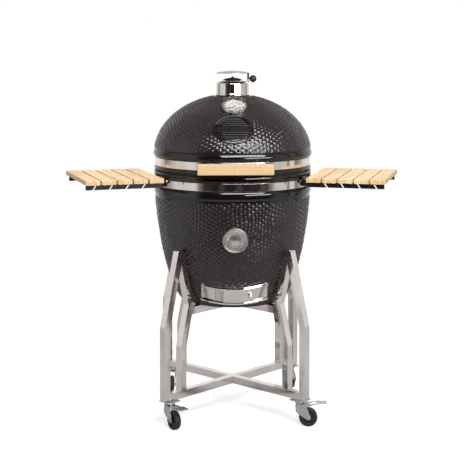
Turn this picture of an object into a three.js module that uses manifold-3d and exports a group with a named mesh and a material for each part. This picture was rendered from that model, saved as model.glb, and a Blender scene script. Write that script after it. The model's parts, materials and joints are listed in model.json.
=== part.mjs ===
// Kamado ceramic grill on a four-legged steel cart with folding side shelves.
// Millimetres, +Z up, the floor at z = 0 under the grill's own axis, and -Y is the front.
import * as THREE from "three";
import { mergeVertices } from "three/addons/utils/BufferGeometryUtils.js";
import Module from "manifold-3d";

const wasm = await Module();
wasm.setup();

// ---- Driving dimensions --------------------------------------------------------------------

const GAP = 0.3; // between pieces that rest on each other or are cut to each other
const ROUND = 36; // facets round the big ceramic pieces and bands

// Ceramic base: radius and height up its outside, then the inside back down.
const BASE_BOTTOM_Z = 436;
const BASE_TOP_Z = 942;
const BASE_TAPER = [
  [198, 437],
  [222, 470],
  [242, 520],
  [261, 580],
  [286, 700],
  [302.5, 820],
  [304, 852],
];
const BASE_INSIDE = [
  [281, 860],
  [277, 810],
  [262, 700],
  [238, 580],
  [216, 520],
  [196, 478],
  [180, 462],
];
const BASE_FLOOR_Z = 462;
const BASE_FOOT_R = 195;
const RING_BULGE_R = 306.5;
const RING_BULGE_Z = [860, 880];
const BAND_SEAT_R = 302;
const LIP_R = 309;
const LIP_Z = [922, 938];
const RIM_INNER_R = 283;

// Fired clay bowl and ring inside the base, as closed ring sections.
const FIRE_BOX = [
  [148, 462.3],
  [168, 462.3],
  [186, 482],
  [206, 524],
  [225, 578],
  [238, 640],
  [246, 690],
  [228, 690],
  [216, 620],
  [203, 582],
  [182, 580],
  [176, 545],
  [162, 505],
];
const FIRE_RING = [
  [228, 690.3],
  [247, 690.3],
  [257, 764],
  [264, 827],
  [267, 866],
  [250, 866],
  [240, 764],
];
const ASH_DOOR = { halfWidth: 55, from: 472, to: 548 };
const CHARCOAL_GRATE = { floor: 582.6, thick: 9, radius: 198, pitch: 42, slot: 14, web: 16 };
const COOKING_GRATE = { floor: 866.4, thick: 7, radius: 273, pitch: 44, bar: 5, crossAt: 90 };

// Steel bands round the two rims.
const BAND_R = BAND_SEAT_R + GAP;
const BAND_THICK = 2.5;
const BASE_BAND_Z = [886.5, 916.5];
const LID_BAND_Z = [963.5, 994.2];

// Lid: a half-ellipse of revolution over a short straight rim.
const LID_BOTTOM_Z = 946.3;
const DOME_CENTRE_Z = 1008;
const DOME_R = 309;
const DOME_H = 230;
const DOME_INNER_R = RIM_INNER_R;
const DOME_INNER_H = 206;
const LID_BULGE_R = 311.6;
const LID_BULGE_Z = 1018;
const LID_LIP_Z = [949, 960];
const DOME_FROM_Z = 1042;
const CHIMNEY_HOLE_R = 50;
const CHIMNEY_SEAT_Z = 1231;
const DOME_STEPS = 8;

// Lid hinge at the back.
const HINGE_Y = 349;
const HINGE_Z = 960;
const HINGE_PIN_R = 5;
const BASE_EYE_R = 15.8;
const LID_EYE_R = 14;
const PIN_HEAD_R = 9;
const LID_PLATE_X = 48;
const BASE_PLATE_X = 58;
const PLATE_THICK = 4;
const SPRING_R = 9.5;
const SPRING_WIRE = 3;
const SPRING_HALF = 38;
const SPRING_TURNS = 5;

// Handle.
const HANDLE_LENGTH = 282;
const HANDLE_Y = [-360, -330];
const HANDLE_Z = [954, 994];
const HANDLE_ARM_X = 95;
const HANDLE_PLATE_HALF = 118;
const HANDLE_EDGE_R = 5;

// Thermometer, on the dome's own normal.
const THERMO_R = 47.5;
const THERMO_AT_R = 190;
const THERMO_STEM = 75;
const THERMO_GLASS_R = 41;
const THERMO_POINTER_AT = THREE.MathUtils.degToRad(120);

// Chimney top.
const VENT_R = [66, 64];
const VENT_SHOULDER = [53, 1289];
const VENT_WALL_TOP_Z = 1281;
const VENT_BASE_Z = 1233.6;
const DAISY_R = 37.5;
const DAISY_TOP_Z = 1302;
const VENT_SLOTS = 5;
const VENT_INNER_R = 40;
const DAISY_EDGE_Z = 1287.5;
const SPINDLE_R = 3;
const CAP_R = 67;
const CAP_EDGE_Z = 1319.5;
const CAP_CROWN = 8;
const CAP_THICK = 2.5;
const CAP_HINGE_X = 62;
const CAP_HINGE_Z = 1289;
const CAP_PIN_R = 2.5;
const CAP_EYE_R = 5;
const CAP_ARM_HALF = 4;
const KNOB_R = 14;
const KNOB_X = 81;
const KNOB_Z = 1298;

// Medallion on the base front.
const MEDALLION_R = 48;
const MEDALLION_Z = 705;
const MEDALLION_AT_R = 286.9;
const MEDALLION_TILT = THREE.MathUtils.degToRad(10.6);

// Draught door: a curved track on a leaning axis, so the doors slide round that axis.
const DRAFT_TILT = THREE.MathUtils.degToRad(26);
const DRAFT_R = 252;
const DRAFT_AT = [-226, 485];
const DRAFT_HALF_ANGLE = THREE.MathUtils.degToRad(29.5);
const DRAFT_HALF_HEIGHT = 40;
const DRAFT_WINDOW = [50, 25];
// Each rail's wall and its lip, as heights up the track.
const DRAFT_RAILS = [
  [33, 35, 28.5, 35],
  [-35, -33, -35, -28.5],
];
const SCREEN_HOLE = { radius: 4.5, across: 14, up: 13 };
const DOOR_HALF_HEIGHT = 31.5;
const DOOR_WIDTH = 116;
const DOOR_AT = 16;
const SCREEN_AT = -22;

// Cart: square tube legs in the four diagonal planes.
const TUBE = 28;
const TUBE_WALL = 1.5;
const LEG_OUTER = [
  [368, 100],
  [368, 377],
  [297, 655],
];
const LEG_INNER = [
  [284, 128.3],
  [284, 292],
  [244.5, 447],
  [292, 640],
];
const LOWER_CROSS_Z = 100;
const UPPER_CROSS_Z = 407.6;

// Casters.
const CASTER_AT = 244;
const WHEEL_R = 35;
const WHEEL_W = 24;
const TRAIL = 32;
const AXLE_R = 4;
const FORK_GAP = 28;
const FORK_THICK = 2.5;
const CROWN_Z = [83.5, 87];
const PEDAL_PIVOT = [4, 76.5];
const PEDAL_THICK = 2;
const TREAD = { from: 62, to: 102, half: 22, z: 90, earsTo: 76 };
const RACEWAY_R = 19;
const MOUNT_PLATE_HALF = 30;

// Side shelves, each turned forward.
const SHELF_TURN = THREE.MathUtils.degToRad(16);
const SHELF_INNER = 332;
const SLATS = 5;
const SLAT_W = 54;
const SLAT_GAP = 6;
const SLAT_LENGTH = 400;
const SLAT_THICK = 16.7;
const SLAT_Z = 918.3;
const BAR_Z = [898, 918];
const BAR_AT = 165;
const BAR_THICK = 4;
const SHELF_HINGE = [322, 908];
const SHELF_PIN_R = 4;
const LUG_AT = 60; // hinge lugs of the shelf frame, either side of its middle
const BAR_SLOTS = 4;
const BAR_SLOT_PITCH = 62;
const STRAP_HALF = 8;
const STRAP_THICK = 3;

// ---- Materials -----------------------------------------------------------------------------

const finish = (color, roughness, metalness) => () =>
  new THREE.MeshStandardMaterial({ color, roughness, metalness });
const GLAZE = finish(0x2a2426, 0.2, 0);
const FIRED_CLAY = finish(0xb8a58c, 0.9, 0);
const POLISHED = finish(0xd7cdc8, 0.18, 1);
const SATIN = finish(0xc2bbb6, 0.4, 1);
const BAMBOO = finish(0xe6c795, 0.5, 0);
const CAST_IRON = finish(0x2b2a2a, 0.7, 0.6);
const DARK_STEEL = finish(0x2e2c2d, 0.5, 0.7);
const ZINC = finish(0xc9cccf, 0.35, 1);
const RUBBER = finish(0x1b1b1c, 0.8, 0);
const FELT = finish(0x1a1918, 0.95, 0);
const KNOB_BLACK = finish(0x19191a, 0.35, 0);
const DIAL = finish(0xefe6da, 0.5, 0);
const GLASS = finish(0xffffff, 0.05, 0);
const NEEDLE = finish(0xb02418, 0.5, 0);

// ---- Geometry helpers ----------------------------------------------------------------------

function toSolid(geometry) {
  const source = geometry.index ? geometry.toNonIndexed() : geometry.clone();
  const bare = new THREE.BufferGeometry();
  bare.setAttribute("position", source.getAttribute("position"));
  const merged = mergeVertices(bare, 1e-4);
  const index = merged.index.array;
  const kept = [];
  for (let i = 0; i < index.length; i += 3) {
    const [a, b, c] = [index[i], index[i + 1], index[i + 2]];
    if (a !== b && b !== c && a !== c) kept.push(a, b, c);
  }
  const vertProperties = merged.attributes.position.array;
  const triVerts = new Uint32Array(kept);
  return new wasm.Manifold(new wasm.Mesh({ numProp: 3, vertProperties, triVerts }));
}

function toGeometry(solid) {
  const mesh = solid.getMesh();
  const geometry = new THREE.BufferGeometry();
  const position = new Float32Array(mesh.vertProperties);
  geometry.setAttribute("position", new THREE.BufferAttribute(position, 3));
  geometry.setIndex(new THREE.BufferAttribute(new Uint32Array(mesh.triVerts), 1));
  geometry.computeVertexNormals();
  return geometry;
}

// One solid out of several geometries, less the cutters.
function join(pieces, cutters = []) {
  let solid = toSolid(pieces[0]);
  for (const piece of pieces.slice(1)) solid = solid.add(toSolid(piece));
  for (const cutter of cutters) solid = solid.subtract(toSolid(cutter));
  return toGeometry(solid);
}

function box(x0, x1, y0, y1, z0, z1) {
  const geometry = new THREE.BoxGeometry(x1 - x0, y1 - y0, z1 - z0);
  return geometry.translate((x0 + x1) / 2, (y0 + y1) / 2, (z0 + z1) / 2);
}

// Turns an outline of [radius, height] points round Z; the outline runs up its outside.
function lathe(outline, segments = ROUND) {
  const points = outline.map(([r, z]) => new THREE.Vector2(r, z));
  return new THREE.LatheGeometry(points, segments).rotateX(Math.PI / 2);
}

// A closed ring section: the first point is repeated at the end.
function ring(outline, segments = ROUND) {
  return lathe([...outline, outline[0]], segments);
}

// A cylinder along "x", "y" or "z" between two places on that axis.
function rod(radius, axis, from, to, [a, b] = [0, 0], segments = 12) {
  const geometry = new THREE.CylinderGeometry(radius, radius, to - from, segments);
  const middle = (from + to) / 2;
  if (axis === "x") return geometry.rotateZ(-Math.PI / 2).translate(middle, a, b);
  if (axis === "y") return geometry.translate(a, middle, b);
  return geometry.rotateX(Math.PI / 2).translate(a, b, middle);
}

function shapeOf(points) {
  return new THREE.Shape(points.map(([x, y]) => new THREE.Vector2(x, y)));
}

function prism(shape, depth, curveSegments = 12) {
  return new THREE.ExtrudeGeometry(shape, { depth, bevelEnabled: false, curveSegments });
}

// A polygon of [x, z] points, thick along Y and centred on y = 0.
function uprightPlate(points, thickness) {
  const geometry = prism(shapeOf(points), thickness);
  return geometry.rotateX(Math.PI / 2).translate(0, thickness / 2, 0);
}

// A polygon of [y, z] points, thick along X and centred on x = at.
function sidePlate(points, thickness, at) {
  const geometry = prism(shapeOf(points), thickness);
  return geometry
    .rotateX(Math.PI / 2)
    .rotateZ(Math.PI / 2)
    .translate(at - thickness / 2, 0, 0);
}

// The outline of a bent strip of the given half width that follows a centre line.
function stripOutline(line, half) {
  const points = line.map(([x, y]) => new THREE.Vector2(x, y));
  const left = [];
  const right = [];
  points.forEach((point, i) => {
    const before = points[i - 1] ?? point;
    const after = points[i + 1] ?? point;
    const into = point.clone().sub(before).normalize();
    const out = after.clone().sub(point).normalize();
    const along = into.clone().add(out).normalize();
    const bend = Math.max(into.length() && out.length() ? along.dot(out) : 1, 0.5);
    const side = new THREE.Vector2(-along.y, along.x).multiplyScalar(half / bend);
    left.push(point.clone().add(side).toArray());
    right.unshift(point.clone().sub(side).toArray());
  });
  return [...left, ...right];
}

// An arc plate round Z, centred on the front (-Y), between two angles off the front.
function arcPlate(r0, r1, fromAngle, toAngle, z0, z1, steps = 12) {
  const front = -Math.PI / 2;
  const shape = new THREE.Shape();
  shape.absarc(0, 0, r1, front + fromAngle, front + toAngle, false);
  shape.absarc(0, 0, r0, front + toAngle, front + fromAngle, true);
  return prism(shape, z1 - z0, steps).translate(0, 0, z0);
}

// The outline round two circles of different size.
function hull2(radiusA, atA, radiusB, atB, steps = 10) {
  const a = new THREE.Vector2(...atA);
  const b = new THREE.Vector2(...atB);
  const heading = b.clone().sub(a).angle();
  const lean = Math.acos((radiusA - radiusB) / a.distanceTo(b));
  const points = [];
  for (let i = 0; i <= steps; i++) {
    const turn = heading - lean + (2 * lean * i) / steps;
    points.push([b.x + radiusB * Math.cos(turn), b.y + radiusB * Math.sin(turn)]);
  }
  for (let i = 0; i <= steps; i++) {
    const turn = heading + lean + ((2 * Math.PI - 2 * lean) * i) / steps;
    points.push([a.x + radiusA * Math.cos(turn), a.y + radiusA * Math.sin(turn)]);
  }
  return points;
}

const grill = new THREE.Group();

function place(name, geometry, material, parent = grill) {
  const mesh = new THREE.Mesh(geometry, material());
  mesh.name = name;
  parent.add(mesh);
}

function groupAt(x, y, z, parent = grill) {
  const group = new THREE.Group();
  group.position.set(x, y, z);
  parent.add(group);
  return group;
}

// ---- Draught track's frame -----------------------------------------------------------------

// Its own Z leans forward by the tilt, and is the axis that the doors slide round.
const draftGroup = groupAt(
  0,
  DRAFT_AT[0] + DRAFT_R * Math.cos(DRAFT_TILT),
  DRAFT_AT[1] + DRAFT_R * Math.sin(DRAFT_TILT),
);
draftGroup.rotation.x = DRAFT_TILT;
draftGroup.updateMatrix();

function inDraftFrame(geometry) {
  return geometry.applyMatrix4(draftGroup.matrix);
}

// ---- Ceramic base and what it holds --------------------------------------------------------

function baseOutline(grow = 0) {
  const bulgeTop = BASE_BAND_Z[0] - GAP;
  return [
    [0, BASE_BOTTOM_Z - grow],
    [BASE_FOOT_R + grow, BASE_BOTTOM_Z - grow],
    ...BASE_TAPER.map(([r, z]) => [r + grow, z]),
    ...RING_BULGE_Z.map((z) => [RING_BULGE_R + grow, z]),
    [BAND_SEAT_R + grow, bulgeTop],
    [BAND_SEAT_R + grow, BASE_BAND_Z[1] + GAP],
    ...LIP_Z.map((z) => [LIP_R + grow, z]),
    [LIP_R - 2 + grow, BASE_TOP_Z],
  ];
}

function baseShell() {
  const inside = [[RIM_INNER_R, BASE_TOP_Z], ...BASE_INSIDE, [0, BASE_FLOOR_Z]];
  const wall = lathe([...baseOutline(), ...inside]);
  const seat = inDraftFrame(
    arcPlate(
      DRAFT_R - GAP,
      DRAFT_R + 40,
      -DRAFT_HALF_ANGLE - 0.01,
      DRAFT_HALF_ANGLE + 0.01,
      -DRAFT_HALF_HEIGHT - 1,
      DRAFT_HALF_HEIGHT + 1,
    ),
  );
  const [halfWidth, halfHeight] = DRAFT_WINDOW;
  const draught = inDraftFrame(
    box(-halfWidth, halfWidth, -DRAFT_R - 20, -DRAFT_R + 70, -halfHeight, halfHeight),
  );
  place("base_shell", join([wall], [seat, draught]), GLAZE);
}

function fireBox() {
  const { halfWidth, from, to } = ASH_DOOR;
  const ashDoor = box(-halfWidth, halfWidth, -260, -100, from, to);
  place("fire_box", join([ring(FIRE_BOX, 24)], [ashDoor]), FIRED_CLAY);
  place("fire_ring", ring(FIRE_RING, 28), FIRED_CLAY);
}

// A cast disc with rows of long slots, either side of a middle web.
function charcoalGrate() {
  const { floor, thick, radius, pitch, slot, web } = CHARCOAL_GRATE;
  const margin = 20;
  const disc = rod(radius, "z", floor, floor + thick, [0, 0], 28);
  const slots = [];
  for (let row = -3; row <= 3; row++) {
    const y = row * pitch;
    const reach = Math.sqrt(radius ** 2 - (Math.abs(y) + web / 2) ** 2) - margin;
    for (const [from, to] of [[-reach, -web / 2], [web / 2, reach]])
      slots.push(box(from, to, y - slot / 2, y + slot / 2, floor - 1, floor + thick + 1));
  }
  place("charcoal_grate", join([disc], slots), CAST_IRON);
}

// Parallel bars inside a rim, with two cross bars under them.
function cookingGrate() {
  const { floor, thick, radius, pitch, bar, crossAt } = COOKING_GRATE;
  const rimWidth = 7;
  const rim = ring([
    [radius - rimWidth, floor],
    [radius, floor],
    [radius, floor + thick],
    [radius - rimWidth, floor + thick],
  ], 28);
  const within = (at) => Math.sqrt((radius - rimWidth / 2) ** 2 - at ** 2);
  const bars = [];
  for (let i = -5; i <= 5; i++) {
    const x = i * pitch;
    const reach = within(x);
    bars.push(box(x - bar / 2, x + bar / 2, -reach, reach, floor + 1, floor + thick - 0.5));
  }
  for (const y of [-crossAt, crossAt]) {
    const reach = within(y);
    bars.push(box(-reach, reach, y - bar / 2 - 1, y + bar / 2 + 1, floor + 0.5, floor + bar));
  }
  place("cooking_grate", join([rim, ...bars]), SATIN);
}

// ---- Lid -----------------------------------------------------------------------------------

function domePoint(radius, height, turn) {
  return [radius * Math.cos(turn), DOME_CENTRE_Z + height * Math.sin(turn)];
}

function domeArc(radius, height, fromTurn, toTurn, steps) {
  const points = [];
  for (let i = 0; i <= steps; i++)
    points.push(domePoint(radius, height, fromTurn + ((toTurn - fromTurn) * i) / steps));
  return points;
}

function lidOutline(grow = 0) {
  const seatTurn = Math.asin((CHIMNEY_SEAT_Z - DOME_CENTRE_Z) / DOME_H);
  const rimTurn = Math.asin((DOME_FROM_Z - DOME_CENTRE_Z) / DOME_H);
  const skin = domeArc(DOME_R, DOME_H, rimTurn, seatTurn, DOME_STEPS);
  return [
    [LIP_R - 3, LID_BOTTOM_Z],
    ...LID_LIP_Z.map((z) => [LIP_R - 1, z]),
    [BAND_SEAT_R, LID_BAND_Z[0] - GAP],
    [BAND_SEAT_R, LID_BAND_Z[1] + GAP],
    [LID_BULGE_R - 2, 1003],
    [LID_BULGE_R, LID_BULGE_Z],
    [LID_BULGE_R - 6, 1031],
    ...skin,
  ].map(([r, z]) => [r + grow, z + grow / 2]);
}

const thermoTurn = Math.acos(THERMO_AT_R / DOME_R);
const [, thermoZ] = domePoint(DOME_R, DOME_H, thermoTurn);
const thermoLean = Math.atan2(
  (thermoZ - DOME_CENTRE_Z) / DOME_H ** 2,
  THERMO_AT_R / DOME_R ** 2,
);
// Its own Z is the dome's outward normal at the thermometer.
const thermoGroup = groupAt(0, -THERMO_AT_R, thermoZ);
thermoGroup.rotation.x = Math.PI / 2 - thermoLean;
thermoGroup.updateMatrix();

function lidShell() {
  const topTurn = Math.acos(CHIMNEY_HOLE_R / DOME_INNER_R);
  const inside = domeArc(DOME_INNER_R, DOME_INNER_H, topTurn, 0, DOME_STEPS - 2);
  const shell = ring([
    [RIM_INNER_R, LID_BOTTOM_Z],
    ...lidOutline(),
    [CHIMNEY_HOLE_R, CHIMNEY_SEAT_Z],
    ...inside,
  ]);
  const stemHole = rod(8, "z", -60, 20).applyMatrix4(thermoGroup.matrix);
  place("lid_shell", join([shell], [stemHole]), GLAZE);
}

function gaskets() {
  const flat = (z0, z1) => [
    [RIM_INNER_R + 1, z0],
    [LIP_R - 3, z0],
    [LIP_R - 3, z1],
    [RIM_INNER_R + 1, z1],
  ];
  place("base_gasket", ring(flat(BASE_TOP_Z + GAP, 944), 28), FELT);
  place("lid_gasket", ring(flat(944.4, LID_BOTTOM_Z - GAP), 28), FELT);
}

// ---- Bands and the lid hinge ---------------------------------------------------------------

function bandStrip([z0, z1]) {
  return ring([
    [BAND_R, z0],
    [BAND_R + BAND_THICK, z0],
    [BAND_R + BAND_THICK, z1],
    [BAND_R, z1],
  ]);
}

// A shelf's two hinge ears and their pins, in the shelf's own turned frame.
function shelfEars(turn) {
  const ears = [];
  const [hingeX, hingeZ] = SHELF_HINGE;
  for (const side of [-1, 1]) {
    const at = side * (LUG_AT + BAR_THICK);
    const root = Math.sqrt((BAND_R + 1.5) ** 2 - at ** 2);
    const ear = uprightPlate(
      [
        [root, 889],
        [hingeX - 6, 889],
        [hingeX + 7, 900],
        [hingeX + 7, 914],
        [hingeX - 2, 915.5],
        [root, 915.5],
      ],
      BAR_THICK,
    ).translate(0, at + side * GAP, 0);
    const [from, to] = [side * (LUG_AT - BAR_THICK), at + side * BAR_THICK].sort((x, y) => x - y);
    const pin = rod(SHELF_PIN_R, "y", from, to, [hingeX, hingeZ], 8);
    for (const piece of [ear, pin]) ears.push(piece.rotateZ(turn));
  }
  return ears;
}

function bandsAndHinge() {
  const eye = rod(HINGE_PIN_R + 0.4, "x", -80, 80, [HINGE_Y, HINGE_Z]);
  const lidPlate = [
    [299, 966],
    [HINGE_Y - LID_EYE_R, 948],
    ...arcPoints([HINGE_Y, HINGE_Z], LID_EYE_R, -120, 60),
    [322, 992],
    [299, 992],
  ];
  const basePlate = [
    [297, 888],
    [322, 888],
    ...arcPoints([HINGE_Y, HINGE_Z], BASE_EYE_R, -30, 150),
    [316, 930],
    [311, 917],
    [306, 915],
    [297, 915],
  ];
  const lidPlates = [-LID_PLATE_X, LID_PLATE_X].map((x) =>
    sidePlate(lidPlate, PLATE_THICK, x),
  );
  const lidCore = rod(BAND_R + 1, "z", 960, 1000, [0, 0], ROUND);
  const lidEars = join(lidPlates, [eye, lidCore]);
  place("lid_band", join([bandStrip(LID_BAND_Z), lidEars]), POLISHED);
  const basePlates = [-BASE_PLATE_X, BASE_PLATE_X].map((x) =>
    sidePlate(basePlate, PLATE_THICK, x),
  );
  const ears = [...shelfEars(-SHELF_TURN), ...shelfEars(Math.PI + SHELF_TURN)];
  // The ears stop inside the band's own thickness.
  const core = rod(BAND_R + 1, "z", 880, 920, [0, 0], ROUND);
  const welded = join([...basePlates, ...ears], [eye, core]);
  place("base_band", join([bandStrip(BASE_BAND_Z), welded]), POLISHED);
  const reach = BASE_PLATE_X + PLATE_THICK;
  const pin = join([
    rod(HINGE_PIN_R, "x", -reach - 6, reach + 2, [HINGE_Y, HINGE_Z]),
    rod(PIN_HEAD_R, "x", reach - 1, reach + 5, [HINGE_Y, HINGE_Z]),
    rod(PIN_HEAD_R, "x", -reach - 7, 1 - reach, [HINGE_Y, HINGE_Z], 6),
  ]);
  place("hinge_pin", pin, SATIN);
  hingeSpring();
}

// Points on an arc in the YZ plane, from one angle to another in degrees.
function arcPoints([y, z], radius, from, to, steps = 6) {
  const points = [];
  for (let i = 0; i <= steps; i++) {
    const turn = THREE.MathUtils.degToRad(from + ((to - from) * i) / steps);
    points.push([y + radius * Math.cos(turn), z + radius * Math.sin(turn)]);
  }
  return points;
}

class CoilCurve extends THREE.Curve {
  getPoint(t, target = new THREE.Vector3()) {
    const turn = 2 * Math.PI * SPRING_TURNS * t;
    const x = SPRING_HALF * (2 * t - 1);
    const y = HINGE_Y + SPRING_R * Math.cos(turn);
    return target.set(x, y, HINGE_Z + SPRING_R * Math.sin(turn));
  }
}

function hingeSpring() {
  const wire = new THREE.Shape();
  wire.absarc(0, 0, SPRING_WIRE / 2, 0, 2 * Math.PI, false);
  const geometry = new THREE.ExtrudeGeometry(wire, {
    steps: SPRING_TURNS * 8,
    curveSegments: 3,
    bevelEnabled: false,
    extrudePath: new CoilCurve(),
  });
  place("hinge_spring", geometry, DARK_STEEL);
}

// ---- Handle --------------------------------------------------------------------------------

function handle() {
  const [front, back] = HANDLE_Y;
  const [low, high] = HANDLE_Z;
  const half = HANDLE_LENGTH / 2;
  const shape = new THREE.Shape();
  const round = HANDLE_EDGE_R;
  shape.moveTo(front + round, low);
  shape.lineTo(back, low);
  shape.lineTo(back, high);
  shape.lineTo(front + round, high);
  shape.absarc(front + round, high - round, round, Math.PI / 2, Math.PI, false);
  shape.absarc(front + round, low + round, round, Math.PI, 1.5 * Math.PI, false);
  const grip = prism(shape, HANDLE_LENGTH, 4).rotateX(Math.PI / 2).rotateZ(Math.PI / 2);
  place("handle_grip", grip.translate(-half, 0, 0), BAMBOO);

  const bandFace = BAND_R + BAND_THICK;
  const plateHalf = HANDLE_PLATE_HALF;
  const pieces = [box(-plateHalf, plateHalf, back + GAP, back + 3.3, 964, 990)];
  for (const side of [-1, 1]) {
    const arm = box(
      side * HANDLE_ARM_X - 2,
      side * HANDLE_ARM_X + 2,
      back + 1,
      -280,
      968,
      990,
    );
    const lean = Math.asin((side * HANDLE_ARM_X) / bandFace);
    const foot = arcPlate(bandFace + GAP, bandFace + 3.3, lean - 0.05, lean + 0.05, 966, 992, 3);
    pieces.push(arm, foot);
  }
  const band = rod(bandFace + GAP, "z", 940, 1010, [0, 0], ROUND);
  place("handle_bracket", join(pieces, [band]), POLISHED);
}

// ---- Thermometer ---------------------------------------------------------------------------

function thermometer() {
  const dome = lathe([[0, 900], [300, 900], ...lidOutline(GAP), [0, 1231.2]]);
  dome.applyMatrix4(thermoGroup.matrix.clone().invert());
  const body = lathe([
    [0, -6],
    [46, -6],
    [THERMO_R, -2],
    [THERMO_R, 12],
    [45, 16],
    [42, 16],
    [42, 8.5],
    [0, 8.5],
  ], 24);
  const stem = lathe([[0, -THERMO_STEM], [2, -THERMO_STEM], [3, -72], [3, 2], [0, 2]], 12);
  const neck = rod(7, "z", -18, 2);
  const head = toSolid(body).subtract(toSolid(dome));
  const whole = head.add(toSolid(stem)).add(toSolid(neck));
  place("thermometer_case", toGeometry(whole), POLISHED, thermoGroup);
  place("thermometer_dial", rod(THERMO_GLASS_R, "z", 8.8, 9.8, [0, 0], 24), DIAL, thermoGroup);
  const needle = join([
    rod(3.5, "z", 10.4, 12, [0, 0], 12),
    box(-1, 1, -9, 33, 10.7, 11.6),
  ]);
  needle.rotateZ(THERMO_POINTER_AT);
  place("thermometer_needle", needle, NEEDLE, thermoGroup);
  const lens = rod(THERMO_GLASS_R, "z", 13.2, 15.2, [0, 0], 24);
  place("thermometer_lens", lens, GLASS, thermoGroup);
}

// ---- Chimney top ---------------------------------------------------------------------------

function ventSlots(inner, outer, width, z0, z1) {
  const slots = [];
  for (let i = 0; i < VENT_SLOTS; i++) {
    const slot = box(inner, outer, -width / 2, width / 2, z0, z1);
    slots.push(slot.rotateZ((2 * Math.PI * i) / VENT_SLOTS + Math.PI / 2));
  }
  return slots;
}

function chimneyTop() {
  const seat = [
    [CHIMNEY_HOLE_R + 2, CHIMNEY_SEAT_Z + GAP],
    [VENT_R[0] + 1, CHIMNEY_SEAT_Z + GAP],
    [VENT_R[0] + 1, VENT_BASE_Z - GAP],
    [CHIMNEY_HOLE_R + 2, VENT_BASE_Z - GAP],
  ];
  place("vent_gasket", ring(seat, 24), FELT);

  const wall = lathe([
    [0, 1283],
    [50, 1283],
    [60.5, 1275],
    [62, VENT_BASE_Z],
    [VENT_R[0], VENT_BASE_Z],
    [VENT_R[1], VENT_WALL_TOP_Z],
    VENT_SHOULDER,
    [VENT_INNER_R, VENT_SHOULDER[1]],
    [VENT_INNER_R, 1286],
    [0, 1286],
  ], 24);
  const ears = [-1, 1].map((side) =>
    uprightPlate(
      [[52, 1282], [64, 1276], [68, 1286], ...arcPoints([CAP_HINGE_X, CAP_HINGE_Z], 6, 0, 180)],
      3,
    ).translate(0, side * 8.5, 0),
  );
  const pinHole = rod(CAP_PIN_R + 0.4, "y", -20, 20, [CAP_HINGE_X, CAP_HINGE_Z], 10);
  const spindleHole = rod(SPINDLE_R + 0.5, "z", 1270, 1300);
  const openings = ventSlots(10, 34, 13, 1270, 1287);
  const housing = join([wall, ...ears], [pinHole, spindleHole, ...openings]);
  place("vent_housing", housing, POLISHED);

  const crown = [];
  const under = [];
  const steps = 3;
  for (let i = 0; i <= steps; i++) {
    const r = (DAISY_R * (steps - i)) / steps;
    const z = DAISY_EDGE_Z + (DAISY_TOP_Z - DAISY_EDGE_Z) * Math.sqrt(1 - (r / (DAISY_R + 4)) ** 2);
    crown.push([r, z]);
    under.unshift([Math.max(r - 1.5, 0), z - 3]);
  }
  const cup = lathe([...under, [DAISY_R, crown[0][1] - 3], ...crown], 20);
  const spindle = lathe([
    [0, 1284],
    [SPINDLE_R, 1284],
    [SPINDLE_R, DAISY_TOP_Z],
    [4.5, DAISY_TOP_Z + 1],
    [4, DAISY_TOP_Z + 4],
    [0, DAISY_TOP_Z + 5],
  ], 12);
  const petals = ventSlots(12, 34, 9, 1280, 1310);
  place("daisy_wheel", join([cup, spindle], petals), CAST_IRON);
}

function rainCap() {
  const upper = [];
  const lower = [];
  const steps = 3;
  for (let i = 0; i <= steps; i++) {
    const r = (CAP_R * i) / steps;
    const z = CAP_EDGE_Z + CAP_CROWN * (1 - (r / CAP_R) ** 2);
    lower.push([r, z]);
    upper.unshift([r, z + CAP_THICK]);
  }
  const disc = lathe([...lower, ...upper], 28);
  const [armIn, armOut] = [CAP_HINGE_X - CAP_ARM_HALF, CAP_HINGE_X + CAP_ARM_HALF];
  const arm = box(armIn, armOut, -5, 5, CAP_HINGE_Z, CAP_EDGE_Z + 2.5);
  const eye = rod(CAP_EYE_R, "y", -6, 6, [CAP_HINGE_X, CAP_HINGE_Z], 10);
  const hole = rod(CAP_PIN_R + 0.4, "y", -20, 20, [CAP_HINGE_X, CAP_HINGE_Z], 10);
  place("rain_cap", join([disc, arm, eye], [hole]), POLISHED);
  const pin = join([
    rod(CAP_PIN_R, "y", -12, 12, [CAP_HINGE_X, CAP_HINGE_Z], 10),
    rod(4.5, "y", -13.5, -11, [CAP_HINGE_X, CAP_HINGE_Z], 10),
    rod(4.5, "y", 11, 13.5, [CAP_HINGE_X, CAP_HINGE_Z], 10),
  ]);
  place("rain_cap_pin", pin, SATIN);
  const ball = new THREE.SphereGeometry(KNOB_R, 14, 8).rotateX(Math.PI / 2);
  const neck = rod(4, "x", armOut + GAP, KNOB_X, [0, KNOB_Z], 12);
  place("rain_cap_knob", join([ball.translate(KNOB_X, 0, KNOB_Z), neck]), KNOB_BLACK);
}

// ---- Medallion and draught doors -----------------------------------------------------------

function medallion() {
  const group = groupAt(0, -MEDALLION_AT_R, MEDALLION_Z);
  group.rotation.x = Math.PI / 2 + MEDALLION_TILT;
  group.updateMatrix();
  const disc = lathe([
    [0, -6],
    [MEDALLION_R - 1, -6],
    [MEDALLION_R, -4],
    [MEDALLION_R, 4],
    [MEDALLION_R - 2, 6],
    [MEDALLION_R - 7, 6],
    [MEDALLION_R - 8, 4.5],
    [0, 4.5],
  ], 24);
  const body = lathe([...baseOutline(GAP), [0, BASE_TOP_Z]]);
  body.applyMatrix4(group.matrix.clone().invert());
  place("front_medallion", join([disc], [body]), SATIN, group);
}

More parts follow.
